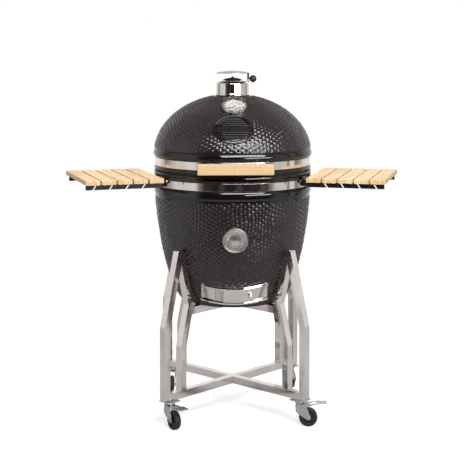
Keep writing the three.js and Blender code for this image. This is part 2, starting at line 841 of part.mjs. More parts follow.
function draftTrack() {
  const r = DRAFT_R;
  const half = DRAFT_HALF_ANGLE;
  const high = DRAFT_HALF_HEIGHT;
  const sheet = arcPlate(r, r + 2, -half, half, -high, high, 7);
  const [halfWidth, halfHeight] = DRAFT_WINDOW;
  const opening = box(-halfWidth, halfWidth, -r - 20, -r + 20, -halfHeight, halfHeight);
  const rails = [];
  for (const [wallFrom, wallTo, lipFrom, lipTo] of DRAFT_RAILS) {
    rails.push(arcPlate(r + 1, r + 7.5, -half, half, wallFrom, wallTo, 7));
    rails.push(arcPlate(r + 6.5, r + 8, -half, half, lipFrom, lipTo, 7));
  }
  place("draft_frame", join([sheet, ...rails], [opening]), POLISHED, draftGroup);

  const spread = DOOR_WIDTH / 2 / r;
  const doorTurn = DOOR_AT / r;
  const tall = DOOR_HALF_HEIGHT;
  const edge = doorTurn + spread;
  const leaf = arcPlate(r + 4.4, r + 5.9, doorTurn - spread, edge, -tall, tall, 6);
  const tab = arcPlate(r + 5, r + 19, edge - 0.06, edge - 0.05, -9, 9, 2);
  place("draft_door", join([leaf, tab]), POLISHED, draftGroup);

  const screenTurn = SCREEN_AT / r;
  const end = screenTurn + spread;
  const sheetMetal = arcPlate(r + 2.5, r + 3.9, screenTurn - spread, end, -tall, tall, 6);
  const { radius, across, up } = SCREEN_HOLE;
  const holes = [];
  for (let row = -1.5; row <= 1.5; row++)
    for (let column = -3; column <= 3; column++) {
      const hole = rod(radius, "y", -r - 6, -r, [0, row * up], 4);
      holes.push(hole.rotateZ(screenTurn + (column * across) / r));
    }
  place("draft_screen", join([sheetMetal], holes), POLISHED, draftGroup);
}

// ---- Cart ----------------------------------------------------------------------------------

function extended(line, start, end) {
  const points = line.map(([x, y]) => new THREE.Vector2(x, y));
  const first = points[0].clone().sub(points[1]).normalize().multiplyScalar(start);
  const last = points.at(-1).clone().sub(points.at(-2)).normalize().multiplyScalar(end);
  points[0].add(first);
  points.at(-1).add(last);
  return points.map((point) => point.toArray());
}

function legGeometry() {
  const bore = TUBE - 2 * TUBE_WALL;
  const past = 20;
  const outer = uprightPlate(stripOutline(extended(LEG_OUTER, 0, past), TUBE / 2), TUBE);
  const inner = uprightPlate(stripOutline(LEG_INNER, TUBE / 2), TUBE);
  const outerBore = uprightPlate(stripOutline(extended(LEG_OUTER, past, 0), bore / 2), bore);
  const innerBore = uprightPlate(stripOutline(extended(LEG_INNER, past, -30), bore / 2), bore);
  const topCut = box(200, 400, -40, 40, LEG_OUTER.at(-1)[1], 720);
  return join([outer, inner], [outerBore, innerBore, topCut]);
}

function crossArm(z, reachTop, reachBottom, size) {
  const inset = (TUBE - size) / 2;
  return uprightPlate(
    [
      [-reachBottom, z + inset],
      [reachBottom, z + inset],
      [reachTop, z + TUBE - inset],
      [-reachTop, z + TUBE - inset],
    ],
    size,
  );
}

function cross(z, reachTop, reachBottom) {
  const bore = TUBE - 2 * TUBE_WALL;
  const arms = [1, -1].map((side) =>
    crossArm(z, reachTop, reachBottom, TUBE).rotateZ((side * Math.PI) / 4),
  );
  const bores = [1, -1].map((side) =>
    crossArm(z, reachTop + 20, reachBottom + 20, bore).rotateZ((side * Math.PI) / 4),
  );
  return join(arms, bores);
}

const CORNERS = [
  ["front_left", -1, -1],
  ["front_right", 1, -1],
  ["rear_left", -1, 1],
  ["rear_right", 1, 1],
];

function cart() {
  for (const [corner, x, y] of CORNERS) {
    const leg = legGeometry().rotateZ(Math.atan2(y, x));
    place(`${corner}_leg`, leg, POLISHED);
  }
  const postFace = LEG_OUTER[0][0] - TUBE / 2 - GAP;
  place("lower_cross", cross(LOWER_CROSS_Z, postFace, postFace), POLISHED);
  // The arms end on the lower stretch of each inner bar, which leans outwards as it falls.
  const [[lowR, lowZ], [kneeR, kneeZ]] = LEG_INNER.slice(1, 3);
  const lean = (lowR - kneeR) / (kneeZ - lowZ);
  const face = (z) => kneeR + (kneeZ - z) * lean - (TUBE / 2) * Math.hypot(1, lean) - GAP;
  const top = face(UPPER_CROSS_Z + TUBE);
  const bottom = face(UPPER_CROSS_Z);
  place("upper_cross", cross(UPPER_CROSS_Z, top, bottom), POLISHED);
}

// ---- Casters -------------------------------------------------------------------------------

const TRAIL_ANGLES = {
  front_left: -58,
  front_right: -4,
  rear_left: -96,
  rear_right: 70,
};

function casterFork() {
  const cheekAt = FORK_GAP / 2 + FORK_THICK / 2;
  const cheekOutline = hull2(22, [5, 68], 9, [TRAIL, WHEEL_R], 6);
  const cheeks = [-1, 1].map((side) =>
    uprightPlate(cheekOutline, FORK_THICK).translate(0, side * cheekAt, 0),
  );
  const width = cheekAt + FORK_THICK / 2;
  const crown = box(-15, 25, -width, width, ...CROWN_Z);
  const axle = rod(AXLE_R, "y", -width - 2, width + 2, [TRAIL, WHEEL_R], 12);
  const nuts = [-1, 1].map((side) =>
    rod(6.5, "y", side * (width + 2) - 2.5, side * (width + 2) + 2.5, [TRAIL, WHEEL_R], 6),
  );
  const kingpinHole = rod(6.6, "z", 75, 95);
  const above = box(-60, 60, -60, 60, CROWN_Z[1], 140);
  return [[...cheeks, crown, axle, ...nuts], [kingpinHole, above], width];
}

function brakePedal(width) {
  const [pivotX, pivotZ] = PEDAL_PIVOT;
  const inner = width + 0.6;
  const outer = inner + PEDAL_THICK;
  const pieces = [];
  for (const side of [-1, 1]) {
    const ear = uprightPlate(
      [
        [pivotX - 7, pivotZ - 6],
        [pivotX + 7, pivotZ - 6],
        [46, 82],
        [TREAD.earsTo, TREAD.z - PEDAL_THICK],
        [TREAD.earsTo, TREAD.z],
        [46, 87],
        [pivotX - 7, 85],
      ],
      PEDAL_THICK,
    );
    pieces.push(ear.translate(0, (side * (inner + outer)) / 2, 0));
  }
  const { from, to, half, z } = TREAD;
  pieces.push(box(from, to, -half, half, z - PEDAL_THICK, z));
  // The brake shoe hangs from a strap over the wheel.
  pieces.push(box(29, 38, -outer, outer, 84, 86));
  pieces.push(box(29, 38, -9, 9, 77.5, 85));
  const holes = [rod(3.4, "y", -40, 40, [pivotX, pivotZ], 10)];
  return join(pieces, holes);
}

function casters() {
  for (const [corner, x, y] of CORNERS) {
    const plateGroup = groupAt(x * CASTER_AT, y * CASTER_AT, 0);
    plateGroup.rotation.z = Math.atan2(y, x);
    const top = LOWER_CROSS_Z - GAP;
    const half = MOUNT_PLATE_HALF;
    const plate = join([
      box(-half, half, -half, half, top - 3, top),
      rod(RACEWAY_R, "z", CROWN_Z[1] + 1, top - 1, [0, 0], 20),
      rod(6, "z", CROWN_Z[0] - 4, top - 2),
      rod(9, "z", CROWN_Z[0] - 4, CROWN_Z[0] - 0.8),
    ]);
    place(`${corner}_caster_plate`, plate, ZINC, plateGroup);

    const swivel = groupAt(x * CASTER_AT, y * CASTER_AT, 0);
    swivel.rotation.z = THREE.MathUtils.degToRad(TRAIL_ANGLES[corner]);
    const [pieces, cutters, width] = casterFork();
    const braked = y < 0;
    if (braked) {
      const [pivotX, pivotZ] = PEDAL_PIVOT;
      pieces.push(rod(3, "y", -width - 3.4, -width + 1, [pivotX, pivotZ], 10));
      pieces.push(rod(3, "y", width - 1, width + 3.4, [pivotX, pivotZ], 10));
      place(`${corner}_brake_pedal`, brakePedal(width), ZINC, swivel);
    }
    place(`${corner}_caster_fork`, join(pieces, cutters), ZINC, swivel);

    const wheel = ring([
      [AXLE_R + 0.4, -WHEEL_W / 2 - 1],
      [11, -WHEEL_W / 2 - 1],
      [31, -WHEEL_W / 2],
      [WHEEL_R, -WHEEL_W / 2 + 5],
      [WHEEL_R, WHEEL_W / 2 - 5],
      [31, WHEEL_W / 2],
      [11, WHEEL_W / 2 + 1],
      [AXLE_R + 0.4, WHEEL_W / 2 + 1],
    ], 18);
    wheel.rotateX(Math.PI / 2).translate(TRAIL, 0, WHEEL_R);
    place(`${corner}_caster_wheel`, wheel, RUBBER, swivel);
  }
}

// ---- Side shelves --------------------------------------------------------------------------

function shelf(side, turn) {
  const group = groupAt(0, 0, 0);
  group.rotation.z = turn;
  const [hingeX, hingeZ] = SHELF_HINGE;
  const shelfEnd = SHELF_INNER + SLATS * SLAT_W + (SLATS - 1) * SLAT_GAP;
  const barEnd = shelfEnd - 6;
  const strapX = SHELF_INNER + 20;
  const bars = [];
  const cuts = [];
  for (const edge of [-1, 1]) {
    const bar = box(SHELF_INNER, barEnd, -BAR_THICK / 2, BAR_THICK / 2, ...BAR_Z);
    bars.push(bar.translate(0, edge * BAR_AT, 0));
    const lug = box(hingeX - 8, strapX + STRAP_HALF, -BAR_THICK / 2, BAR_THICK / 2, ...BAR_Z);
    bars.push(lug.translate(0, edge * LUG_AT, 0));
    for (let i = 0; i < BAR_SLOTS; i++) {
      const x = barEnd - 40 - i * BAR_SLOT_PITCH;
      const slot = uprightPlate(
        [[x + 10, 897], [x + 16, 897], [x + 5, 914], [x - 1, 914]],
        2 * BAR_THICK,
      );
      cuts.push(slot.translate(0, edge * BAR_AT, 0));
    }
  }
  const strapFloor = BAR_Z[1] - STRAP_THICK;
  for (const x of [strapX, shelfEnd - 30])
    bars.push(box(x - STRAP_HALF, x + STRAP_HALF, -BAR_AT, BAR_AT, strapFloor, BAR_Z[1]));
  cuts.push(rod(SHELF_PIN_R + 0.4, "y", -LUG_AT - 10, LUG_AT + 10, [hingeX, hingeZ]));
  place(`${side}_shelf_frame`, join(bars, cuts), DARK_STEEL, group);
  for (let i = 0; i < SLATS; i++) {
    const x = SHELF_INNER + i * (SLAT_W + SLAT_GAP);
    const half = SLAT_LENGTH / 2;
    const slat = box(x, x + SLAT_W, -half, half, SLAT_Z, SLAT_Z + SLAT_THICK);
    place(`${side}_shelf_slat_${i + 1}`, slat, BAMBOO, group);
  }
}

// ---- The assembly --------------------------------------------------------------------------

baseShell();
fireBox();
charcoalGrate();
cookingGrate();
lidShell();
gaskets();
bandsAndHinge();
handle();
thermometer();
chimneyTop();
rainCap();
medallion();
draftTrack();
cart();
casters();
shelf("right", -SHELF_TURN);
shelf("left", Math.PI + SHELF_TURN);

export default grill;
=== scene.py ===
"""Kamado grill: the looks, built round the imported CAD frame. Outlines are in millimetres."""

import json
import math
import random

import bmesh
import bpy
from mathutils import Matrix, Vector, noise

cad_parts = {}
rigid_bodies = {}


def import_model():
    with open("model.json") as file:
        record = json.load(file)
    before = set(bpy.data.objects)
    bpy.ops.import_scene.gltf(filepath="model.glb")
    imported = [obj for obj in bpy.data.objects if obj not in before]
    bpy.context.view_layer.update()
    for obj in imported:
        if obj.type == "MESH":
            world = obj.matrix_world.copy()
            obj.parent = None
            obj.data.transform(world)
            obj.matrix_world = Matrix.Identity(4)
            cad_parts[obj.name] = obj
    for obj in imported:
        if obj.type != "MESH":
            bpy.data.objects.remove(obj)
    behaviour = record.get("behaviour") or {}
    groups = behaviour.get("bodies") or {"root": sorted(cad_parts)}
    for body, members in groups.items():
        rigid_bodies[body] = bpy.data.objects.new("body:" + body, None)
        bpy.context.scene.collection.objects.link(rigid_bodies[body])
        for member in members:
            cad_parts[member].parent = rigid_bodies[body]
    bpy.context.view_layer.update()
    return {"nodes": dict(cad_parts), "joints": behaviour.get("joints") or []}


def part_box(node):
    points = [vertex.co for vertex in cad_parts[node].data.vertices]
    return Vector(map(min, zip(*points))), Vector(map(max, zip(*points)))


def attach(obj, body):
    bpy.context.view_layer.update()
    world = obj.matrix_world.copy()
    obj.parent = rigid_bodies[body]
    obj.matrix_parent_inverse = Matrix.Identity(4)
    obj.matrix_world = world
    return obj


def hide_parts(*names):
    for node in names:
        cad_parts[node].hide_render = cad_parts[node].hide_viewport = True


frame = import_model()
JOINTS = {joint["name"]: joint for joint in frame["joints"]}
MM = 0.001
SIDES = ("left", "right")
CORNERS = ("front_left", "front_right", "rear_left", "rear_right")
GRAIN_DEPTH = 0.0004  # how deep a finish's fine grain is, in metres


# ---- Materials ----


class Graph:
    """A node tree under construction."""

    def __init__(self, tree):
        self.nodes, self.links = tree.nodes, tree.links

    def feed(self, socket, value):
        """Links a socket to another node's output, or sets its own value."""
        if isinstance(value, bpy.types.NodeSocket):
            self.links.new(value, socket)
        else:
            socket.default_value = value

    def add(self, kind, output, inputs=None, **settings):
        """Adds a node, with its inputs by name or number, and gives one of its outputs."""
        node = self.nodes.new("ShaderNode" + kind)
        for name, value in settings.items():
            setattr(node, name, value)
        for socket, value in (inputs or {}).items():
            self.feed(node.inputs[socket], value)
        return node.outputs[output]

    def math(self, operation, *values):
        return self.add("Math", 0, dict(enumerate(values)), operation=operation)

    def ramp(self, value, stops):
        """stops: (position, colour or grey level)."""
        color = self.add("ValToRGB", "Color", {"Fac": value})
        elements = color.node.color_ramp.elements
        while len(elements) < len(stops):
            elements.new(0.5)
        for element, (position, tone) in zip(elements, stops):
            element.position = position
            element.color = (*(tone if isinstance(tone, tuple) else (tone,) * 3), 1.0)
        return color

    def span(self, value, low, high, from_low=0.3, from_high=0.7):
        """Stretches a value's range onto another. Noise keeps mostly within the default range."""
        return self.add("MapRange", 0, dict(enumerate((value, from_low, from_high, low, high))))

    def mix(self, factor, first, second, mode="MIX"):
        sockets = {0: factor, 6: first, 7: second}
        return self.add("Mix", 2, sockets, data_type="RGBA", blend_type=mode)


class Look(Graph):
    """A node material under construction."""

    def __init__(self, name, color, roughness, metallic=0.0, **extra):
        self.material = bpy.data.materials.new(name)
        self.material.use_nodes = True
        super().__init__(self.material.node_tree)
        self.shader = self.nodes["Principled BSDF"]
        self.set("Base Color", (*color, 1.0))
        self.set("Roughness", roughness)
        self.set("Metallic", metallic)
        for socket, value in extra.items():
            self.set(socket.replace("_", " "), value)
        self.coords = self.add("TexCoord", "Object")

    def set(self, socket, value):
        self.feed(self.shader.inputs[socket], value)

    def mapped(self, scale, turn=0.0):
        """Object coordinates turned about Z, then scaled."""
        spun = self.add("Mapping", 0, {"Vector": self.coords, "Rotation": (0, 0, -turn)})
        return self.add("Mapping", 0, {"Vector": spun, "Scale": scale})

    def noise(self, scale, detail=4.0, vector=None, roughness=0.55):
        sockets = {"Scale": scale, "Detail": detail, "Roughness": roughness}
        return self.add("TexNoise", "Fac", {"Vector": vector or self.coords, **sockets})

    def bump(self, height, strength, distance):
        sockets = {"Height": height, "Strength": strength, "Distance": distance}
        self.set("Normal", self.add("Bump", "Normal", sockets))


def glaze_look():
    """Near-black brown glaze, browner on the dimples' crests: partly the glaze running thinner there,
    partly a painted highlight standing in for light on the crests.
    """
    look = Look("glaze", (0.010, 0.0075, 0.008), 0.15, IOR=1.52)
    deep, shallow = (0.0045, 0.0032, 0.0036), (0.008, 0.0058, 0.0062)
    # The crests' colour is partly thin glaze and partly a painted highlight of the relief.
    crest_tint_and_painted_light = (0.038, 0.028, 0.030, 1.0)
    crest = look.add("Attribute", "Fac", attribute_name="crest")
    tone = look.ramp(look.noise(9.0, 5.0), [(0.3, deep), (0.7, shallow)])
    look.set("Base Color", look.mix(crest, tone, crest_tint_and_painted_light))
    look.set("Roughness", look.span(look.noise(60.0, 3.0), 0.06, 0.13))
    look.bump(look.noise(420.0, 3.0), 0.1, 0.0005)
    return look.material


def steel_look(name, color, roughness, grain, spread, bump):
    """Steel with broad smears, and fine streaks that run along the grain."""
    look = Look(name, color, roughness, 1.0)
    streaks = look.noise(260.0, 5.0, look.mapped(grain))
    smears = look.noise(14.0, 4.0)
    dark = tuple(channel * 0.86 for channel in color)
    look.set("Base Color", look.ramp(smears, [(0.3, dark), (0.65, color)]))
    full = [(0.3, 0.0), (0.7, 1.0)]
    blend = look.mix(0.5, look.ramp(streaks, full), look.ramp(smears, full))
    look.set("Roughness", look.span(blend, roughness - spread, roughness + spread, 0.0, 1.0))
    look.bump(streaks, bump, GRAIN_DEPTH)
    return look.material


def bamboo_look(name, turn, pale=1.0):
    """Laminated strips; the grain runs along X after the turn."""
    look = Look(name, (0.78, 0.58, 0.34), 0.45)
    sockets = {
        "Vector": look.mapped((1, 1, 0), turn),
        "Scale": 1.0,
        "Mortar Size": 0.00025,
        "Mortar Smooth": 0.3,
        "Brick Width": 0.31,
        "Row Height": 0.0085,
        "Color1": (0.86 * pale, 0.665 * pale, 0.41 * pale, 1.0),
        "Color2": (0.74 * pale, 0.53 * pale, 0.29 * pale, 1.0),
        "Mortar": (0.50, 0.33, 0.16, 1.0),
    }
    strips = look.add("TexBrick", "Color", sockets, offset=0.37)
    fibre = look.noise(38.0, 6.0, look.mapped((0.5, 16, 16), turn), 0.65)
    threads = look.ramp(fibre, [(0.32, (0.72, 0.62, 0.50)), (0.62, 1.0)])
    grained = look.mix(0.75, strips, threads, "MULTIPLY")
    board = look.noise(5.5, 2.0, look.mapped((0.6, 3, 3), turn))
    tint = look.ramp(board, [(0.35, (0.93, 0.86, 0.80)), (0.65, 1.0)])
    look.set("Base Color", look.mix(1.0, grained, tint, "MULTIPLY"))
    look.set("Roughness", look.span(fibre, 0.38, 0.56))
    look.bump(fibre, 0.15, GRAIN_DEPTH)
    return look.material


def plain_look(name, color, roughness, metallic, scale, dim, bump, depth=GRAIN_DEPTH):
    """A colour with mottling, uneven sheen and a fine surface grain."""
    look = Look(name, color, roughness, metallic)
    mottle = look.noise(scale, 5.0)
    dark = tuple(channel * dim for channel in color)
    look.set("Base Color", look.ramp(mottle, [(0.3, dark), (0.7, color)]))
    smooth, rough = max(roughness - 0.08, 0.03), min(roughness + 0.08, 1.0)
    look.set("Roughness", look.span(mottle, smooth, rough))
    look.bump(look.noise(scale * 7, 3.0), bump, depth)
    return look.material


def glass_look():
    look = Look("clear_glass", (1.0, 1.0, 1.0), 0.02, IOR=1.45, Transmission_Weight=1.0)
    look.set("Roughness", look.span(look.noise(40.0), 0.0, 0.04))
    return look.material


# Colour, roughness, the grain's scales, how far the roughness varies, bump.
STEELS = {
    "satin_steel": ((0.64, 0.62, 0.60), 0.3, (1, 1, 1), 0.08, 0.04),
    "polished_steel": ((0.80, 0.765, 0.735), 0.075, (0.4, 0.4, 5), 0.025, 0.02),
    "cart_steel": ((0.86, 0.80, 0.775), 0.09, (3, 3, 0.4), 0.03, 0.02),
    "zinc": ((0.54, 0.555, 0.57), 0.25, (1, 1, 1), 0.1, 0.04),
}
# Colour, roughness, metallic, the mottling's scale, its darkest share, bump, the bump's depth.
PLAINS = {
    "fired_clay": ((0.50, 0.42, 0.33), 0.9, 0.0, 60, 0.75, 0.4, 0.001),
    "cast_iron": ((0.035, 0.033, 0.032), 0.55, 0.7, 150, 0.6, 0.5, 0.0006),
    "felt": ((0.018, 0.017, 0.016), 0.95, 0.0, 500, 0.75, 0.8, 0.0008),
    # Near-black steel; on the shelf frames this colour is a painted dark reflection of the room, on
    # frames that are stainless.
    "dark_steel": ((0.045, 0.043, 0.045), 0.38, 0.4, 90, 0.7, 0.15),
    "dial_face": ((0.33, 0.29, 0.265), 0.35, 0.0, 30, 0.85, 0.02),
    "needle_red": ((0.55, 0.03, 0.02), 0.35, 0.0, 200, 0.85, 0.03),
    "ink": ((0.03, 0.03, 0.035), 0.6, 0.0, 200, 0.8, 0.03),
    "knob_black": ((0.012, 0.012, 0.013), 0.3, 0.0, 120, 0.7, 0.06),
    "rubber": ((0.014, 0.014, 0.015), 0.62, 0.0, 140, 0.6, 0.3),
}
LOOKS = {
    "glaze": glaze_look(),
    "clear_glass": glass_look(),
    "bamboo": bamboo_look("bamboo_handle", 0.0),
}
LOOKS |= {name: steel_look(name, *values) for name, values in STEELS.items()}
LOOKS |= {name: plain_look(name, *values) for name, values in PLAINS.items()}


# ---- Mesh helpers ----


def axes_at(origin, x_axis, z_axis):
    """A placement whose own Z is z_axis and whose X is as near x_axis as it can be."""
    z = Vector(z_axis).normalized()
    x = Vector(x_axis)
    x = (x - z * x.dot(z)).normalized()
    matrix = Matrix((x, z.cross(x), z)).transposed().to_4x4()
    matrix.translation = Vector(origin)
    return matrix


UPRIGHT = Matrix.Identity(4)
SHARP = 35.0  # edges that bend by more degrees than this stay sharp
ON_AXIS = 1e-6
CORNER_SHARE = 0.45  # the most of a side that one rounded corner takes


def shade(mesh, angle=SHARP):
    for polygon in mesh.polygons:
        polygon.use_smooth = True
    mesh.set_sharp_from_angle(angle=math.radians(angle))


def placed(name, data):
    """Puts a new object in the scene."""
    obj = bpy.data.objects.new(name, data)
    bpy.context.scene.collection.objects.link(obj)
    return obj


def mesh_from(bm, name):
    mesh = bpy.data.meshes.new(name)
    bm.to_mesh(mesh)
    bm.free()
    return mesh


def solid(name, bm, place):
    """Turns a bmesh in millimetres, in its own frame, into an object in the scene."""
    bmesh.ops.transform(bm, matrix=place @ Matrix.Scale(MM, 4), verts=bm.verts)
    bmesh.ops.recalc_face_normals(bm, faces=bm.faces)
    return placed(name, mesh_from(bm, name))


def piece(name, bm, body, look, place=UPRIGHT, replaces=(), angle=SHARP):
    """Turns a bmesh into a finished piece that moves with a body."""
    obj = solid(name, bm, place)
    obj.data.materials.append(LOOKS[look])
    shade(obj.data, angle)
    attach(obj, body)
    if replaces:
        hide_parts(*replaces)
    return obj


def evenly(count):
    """Angles spread evenly round a circle."""
    return [2 * math.pi * k / count for k in range(count)]


def ring(bm, radius, height, count):
    """A level circle of vertices. On the axis it is one vertex, repeated."""
    if radius < ON_AXIS:
        return [bm.verts.new((0, 0, height))] * count
    return [bm.verts.new((radius * math.cos(t), radius * math.sin(t), height)) for t in evenly(count)]


def join_rings(bm, low, high):
    """Joins two rings. One may have a whole number of times fewer points than the other."""
    steps = min(len(low), len(high))
    by_low, by_high = len(low) // steps, len(high) // steps
    for k in range(steps):
        under = [low[(k * by_low + i) % len(low)] for i in range(by_low + 1)]
        over = [high[(k * by_high + i) % len(high)] for i in range(by_high + 1)]
        corners = list(dict.fromkeys(under + over[::-1]))
        if len(corners) > 2:
            bm.faces.new(corners)


def skin(bm, rings, closed=False):
    """Joins each ring to the next, and the last one to the first when closed."""
    following = rings[1:] + rings[:1] if closed else rings[1:]
    for low, high in zip(rings, following):
        join_rings(bm, low, high)


def revolve(outline, segments=96, closed=False):
    """Turns (radius, height) points round Z."""
    bm = bmesh.new()
    skin(bm, [ring(bm, radius, height, segments) for radius, height in outline], closed)
    return bm


def box_outline(x0, x1, y0, y1):
    return [(x0, y0), (x1, y0), (x1, y1), (x0, y1)]


def rounded(points, radius, steps=4):
    """Rounds the corners of a closed outline. Corners on the axis stay sharp."""
    result = []
    for i, (x, y) in enumerate(points):
        here = Vector((x, y))
        if abs(x) < ON_AXIS:
            result.append((x, y))
            continue
        before = Vector(points[i - 1]) - here
        after = Vector(points[(i + 1) % len(points)]) - here
        reach = min(radius, before.length * CORNER_SHARE, after.length * CORNER_SHARE)
        start = here + before.normalized() * reach
        end = here + after.normalized() * reach
        for k in range(steps + 1):
            t = k / steps
            spot = start * (1 - t) ** 2 + here * 2 * t * (1 - t) + end * t * t
            result.append(tuple(spot))
    return result


def arc(center, radius, start, end, steps=8):
    """Points on a circle between two angles in degrees."""
    turns = [math.radians(start + (end - start) * k / steps) for k in range(steps + 1)]
    return [(center[0] + radius * math.cos(t), center[1] + radius * math.sin(t)) for t in turns]


def prism(points, depth, into=None, axis="z", start=0.0):
    """A polygon made thick along an axis. Points are (y, z) for "x" and (x, z) for "y"."""
    bm = into or bmesh.new()
    put = {
        "z": lambda a, b, c: (a, b, c),
        "x": lambda a, b, c: (c, a, b),
        "y": lambda a, b, c: (a, c, b),
    }[axis]
    low = [bm.verts.new(put(a, b, start)) for a, b in points]
    high = [bm.verts.new(put(a, b, start + depth)) for a, b in points]
    bm.faces.new(low[::-1])
    bm.faces.new(high)
    join_rings(bm, low, high)
    return bm


def block(x0, x1, y0, y1, z0, z1, into=None, soft=0.0, steps=2):
    """A box, with its edges rounded when soft is given."""
    bm = bmesh.new()
    prism(box_outline(x0, x1, y0, y1), z1 - z0, bm, "z", z0)
    if soft:
        bmesh.ops.bevel(bm, geom=bm.edges[:], offset=soft, segments=steps, profile=0.5, affect="EDGES")
    return poured(bm, into)


def poured(bm, into, matrix=None):
    """Moves one bmesh's faces into another."""
    if matrix is not None:
        bmesh.ops.transform(bm, matrix=matrix, verts=bm.verts)
    if into is None:
        return bm
    mesh = mesh_from(bm, "poured")
    into.from_mesh(mesh)
    bpy.data.meshes.remove(mesh)
    return into


def rod(radius, start, end, into=None, segments=24, soft=0.4):
    """A round bar with eased ends between two points."""
    start, end = Vector(start), Vector(end)
    length = (end - start).length
    soft = min(soft, radius * 0.4, length * 0.4)
    outline = [(0, 0), (radius - soft, 0), (radius, soft)]
    outline += [(radius, length - soft), (radius - soft, length), (0, length)]
    bm = revolve(outline, segments)
    turn = (end - start).to_track_quat("Z", "Y").to_matrix().to_4x4()
    turn.translation = start
    return poured(bm, into, turn)


def tube(path, radius, segments=10, closed=False, into=None):
    """A round wire along a list of points."""
    bm = into or bmesh.new()
    points = [Vector(p) for p in path]
    count = len(points)
    rings = []
    side = None
    for i, point in enumerate(points):
        before = points[i - 1] if (i or closed) else point
        after = points[(i + 1) % count] if (i < count - 1 or closed) else point
        along = (after - before).normalized()
        if side is None:
            side = along.orthogonal().normalized()
        side = (side - along * side.dot(along)).normalized()
        up = along.cross(side)
        spokes = [side * math.cos(t) + up * math.sin(t) for t in evenly(segments)]
        rings.append([bm.verts.new(point + spoke * radius) for spoke in spokes])
    skin(bm, rings, closed)
    if not closed:
        bm.faces.new(rings[0][::-1])
        bm.faces.new(rings[-1])
    return bm


def sector(r0, r1, start, end, z0, z1, steps=24, into=None):
    """An arc plate round Z. Angles are in radians off the front, -Y."""
    bm = into or bmesh.new()
    columns = []
    for k in range(steps + 1):
        turn = start + (end - start) * k / steps - math.pi / 2
        spots = box_outline(r0, r1, z0, z1)
        columns.append([bm.verts.new((r * math.cos(turn), r * math.sin(turn), z)) for r, z in spots])
    skin(bm, columns)
    bm.faces.new(columns[0][::-1])
    bm.faces.new(columns[-1])
    return bm


def cut(obj, cutter, place=UPRIGHT, operation="DIFFERENCE"):
    """Cuts a piece with a bmesh in millimetres and applies the result."""
    tool = solid("cutter", cutter, place)
    mesh = tool.data
    modifier = obj.modifiers.new("cut", "BOOLEAN")
    modifier.object = tool
    modifier.operation = operation
    modifier.solver = "MANIFOLD"
    settle(obj)
    bpy.data.objects.remove(tool)
    bpy.data.meshes.remove(mesh)


def settle(obj):
    """Applies a piece's modifiers."""
    bpy.context.view_layer.update()
    graph = bpy.context.evaluated_depsgraph_get()
    done = bpy.data.meshes.new_from_object(obj.evaluated_get(graph))
    old = obj.data
    obj.modifiers.clear()
    obj.data = done
    bpy.data.meshes.remove(old)
    done.name = obj.name


def bevelled(obj, width, angle):
    """Adds a modifier that rounds edges sharper than an angle."""
    modifier = obj.modifiers.new("ease", "BEVEL")
    modifier.width = width * MM
    modifier.segments = 2
    modifier.limit_method = "ANGLE"
    modifier.angle_limit = math.radians(angle)


def ease(obj, width):
    """Rounds a finished piece's sharp edges."""
    bevelled(obj, width, SHARP)
    settle(obj)
    shade(obj.data, 40)


def carry(node, look, bevel, flat=False):
    """Keeps a CAD node, with eased edges and its finish. A flat one has no smooth bends."""
    obj = frame["nodes"][node]
    mesh = obj.data
    custom = mesh.attributes.get("custom_normal")
    if custom:
        mesh.attributes.remove(custom)
    mesh.materials.clear()
    mesh.materials.append(LOOKS[look])
    obj.modifiers.new("weld", "WELD").merge_threshold = 1e-5
    bevelled(obj, bevel, 30.0)
    for polygon in mesh.polygons:
        polygon.use_smooth = not flat


# ---- Dimpled ceramic ----

BASE_DIMPLES = 130  # columns of dimples round each shell, even numbers
LID_DIMPLES = 132
BASE_RELIEF = 5.4  # how far a dimple's crest stands above the hollows
LID_RELIEF = 4.6
FINE = 4  # mesh columns for each column of dimples
SHELL_SHARP = 75.0
COARSE = 4  # plain rows inside a shell have this many times fewer columns
WAVE, DRIFT = 6.0, 3.2  # how far the lattice wanders, in rows and in fine columns
STEADY_ROWS = 14  # rows over which the wandering fades out at a shell's ends
CALM_RISE = 0.35  # height and tint of the smooth glaze in the badge, as shares of a crest's
CALM_TINT = 0.3
COLUMN = FINE * math.sqrt(3) / 2  # column spacing in units of the fine pitch


def smooth_path(points, steps=24):
    """A Catmull-Rom curve through points."""
    points = [Vector(p) for p in points]
    points = [points[0] * 2 - points[1], *points, points[-1] * 2 - points[-2]]
    path = []
    for a, b, c, d in zip(points, points[1:], points[2:], points[3:]):
        for k in range(steps):
            t = k / steps
            spot = 2 * b + (c - a) * t + (2 * a - 5 * b + 4 * c - d) * t * t
            spot = spot + (3 * b - a - 3 * c + d) * t**3
            path.append(spot / 2)
    path.append(points[-2])
    return path


def dimple_rows(path, dimples):
    """Stations along a path, spaced with the radius so that dimples keep their shape."""
    stations = []
    travelled, wanted = 0.0, 0.0
    for here, after in zip(path, path[1:]):
        step = (after - here).length
        while travelled + step >= wanted:
            spot = here.lerp(after, (wanted - travelled) / step)
            along = (after - here).normalized()
            stations.append((spot, Vector((along.y, -along.x))))
            wanted += 2 * math.pi * spot.x / dimples / COLUMN
        travelled += step
    return stations


def station_at(stations, t):
    t = max(0.0, min(t, len(stations) - 1.001))
    i = int(t)
    share = t - i
    (a, na), (b, nb) = stations[i], stations[i + 1]
    return a.lerp(b, share), na.lerp(nb, share).normalized()


def crest(column, row, dimples, tone):
    """How high the nearest dimple stands at a fine column and row, from 0 to 1."""
    across = column * math.sqrt(3) / 2
    best = 0.0
    near = round(column / FINE)
    for lattice in (near - 1, near, near + 1):
        shift = FINE / 2 if lattice % 2 else 0.0
        middle = round((row - shift) / FINE) * FINE + shift
        away = math.hypot(across - lattice * COLUMN, row - middle) / (FINE / math.sqrt(3))
        height = max(0.0, 1 - away * away)
        key = (lattice % dimples, round(middle * 2))
        if key not in tone:
            tone[key] = random.Random(key[0] * 7919 + key[1]).uniform(0.72, 1.0)
        best = max(best, height * tone[key])
    return best


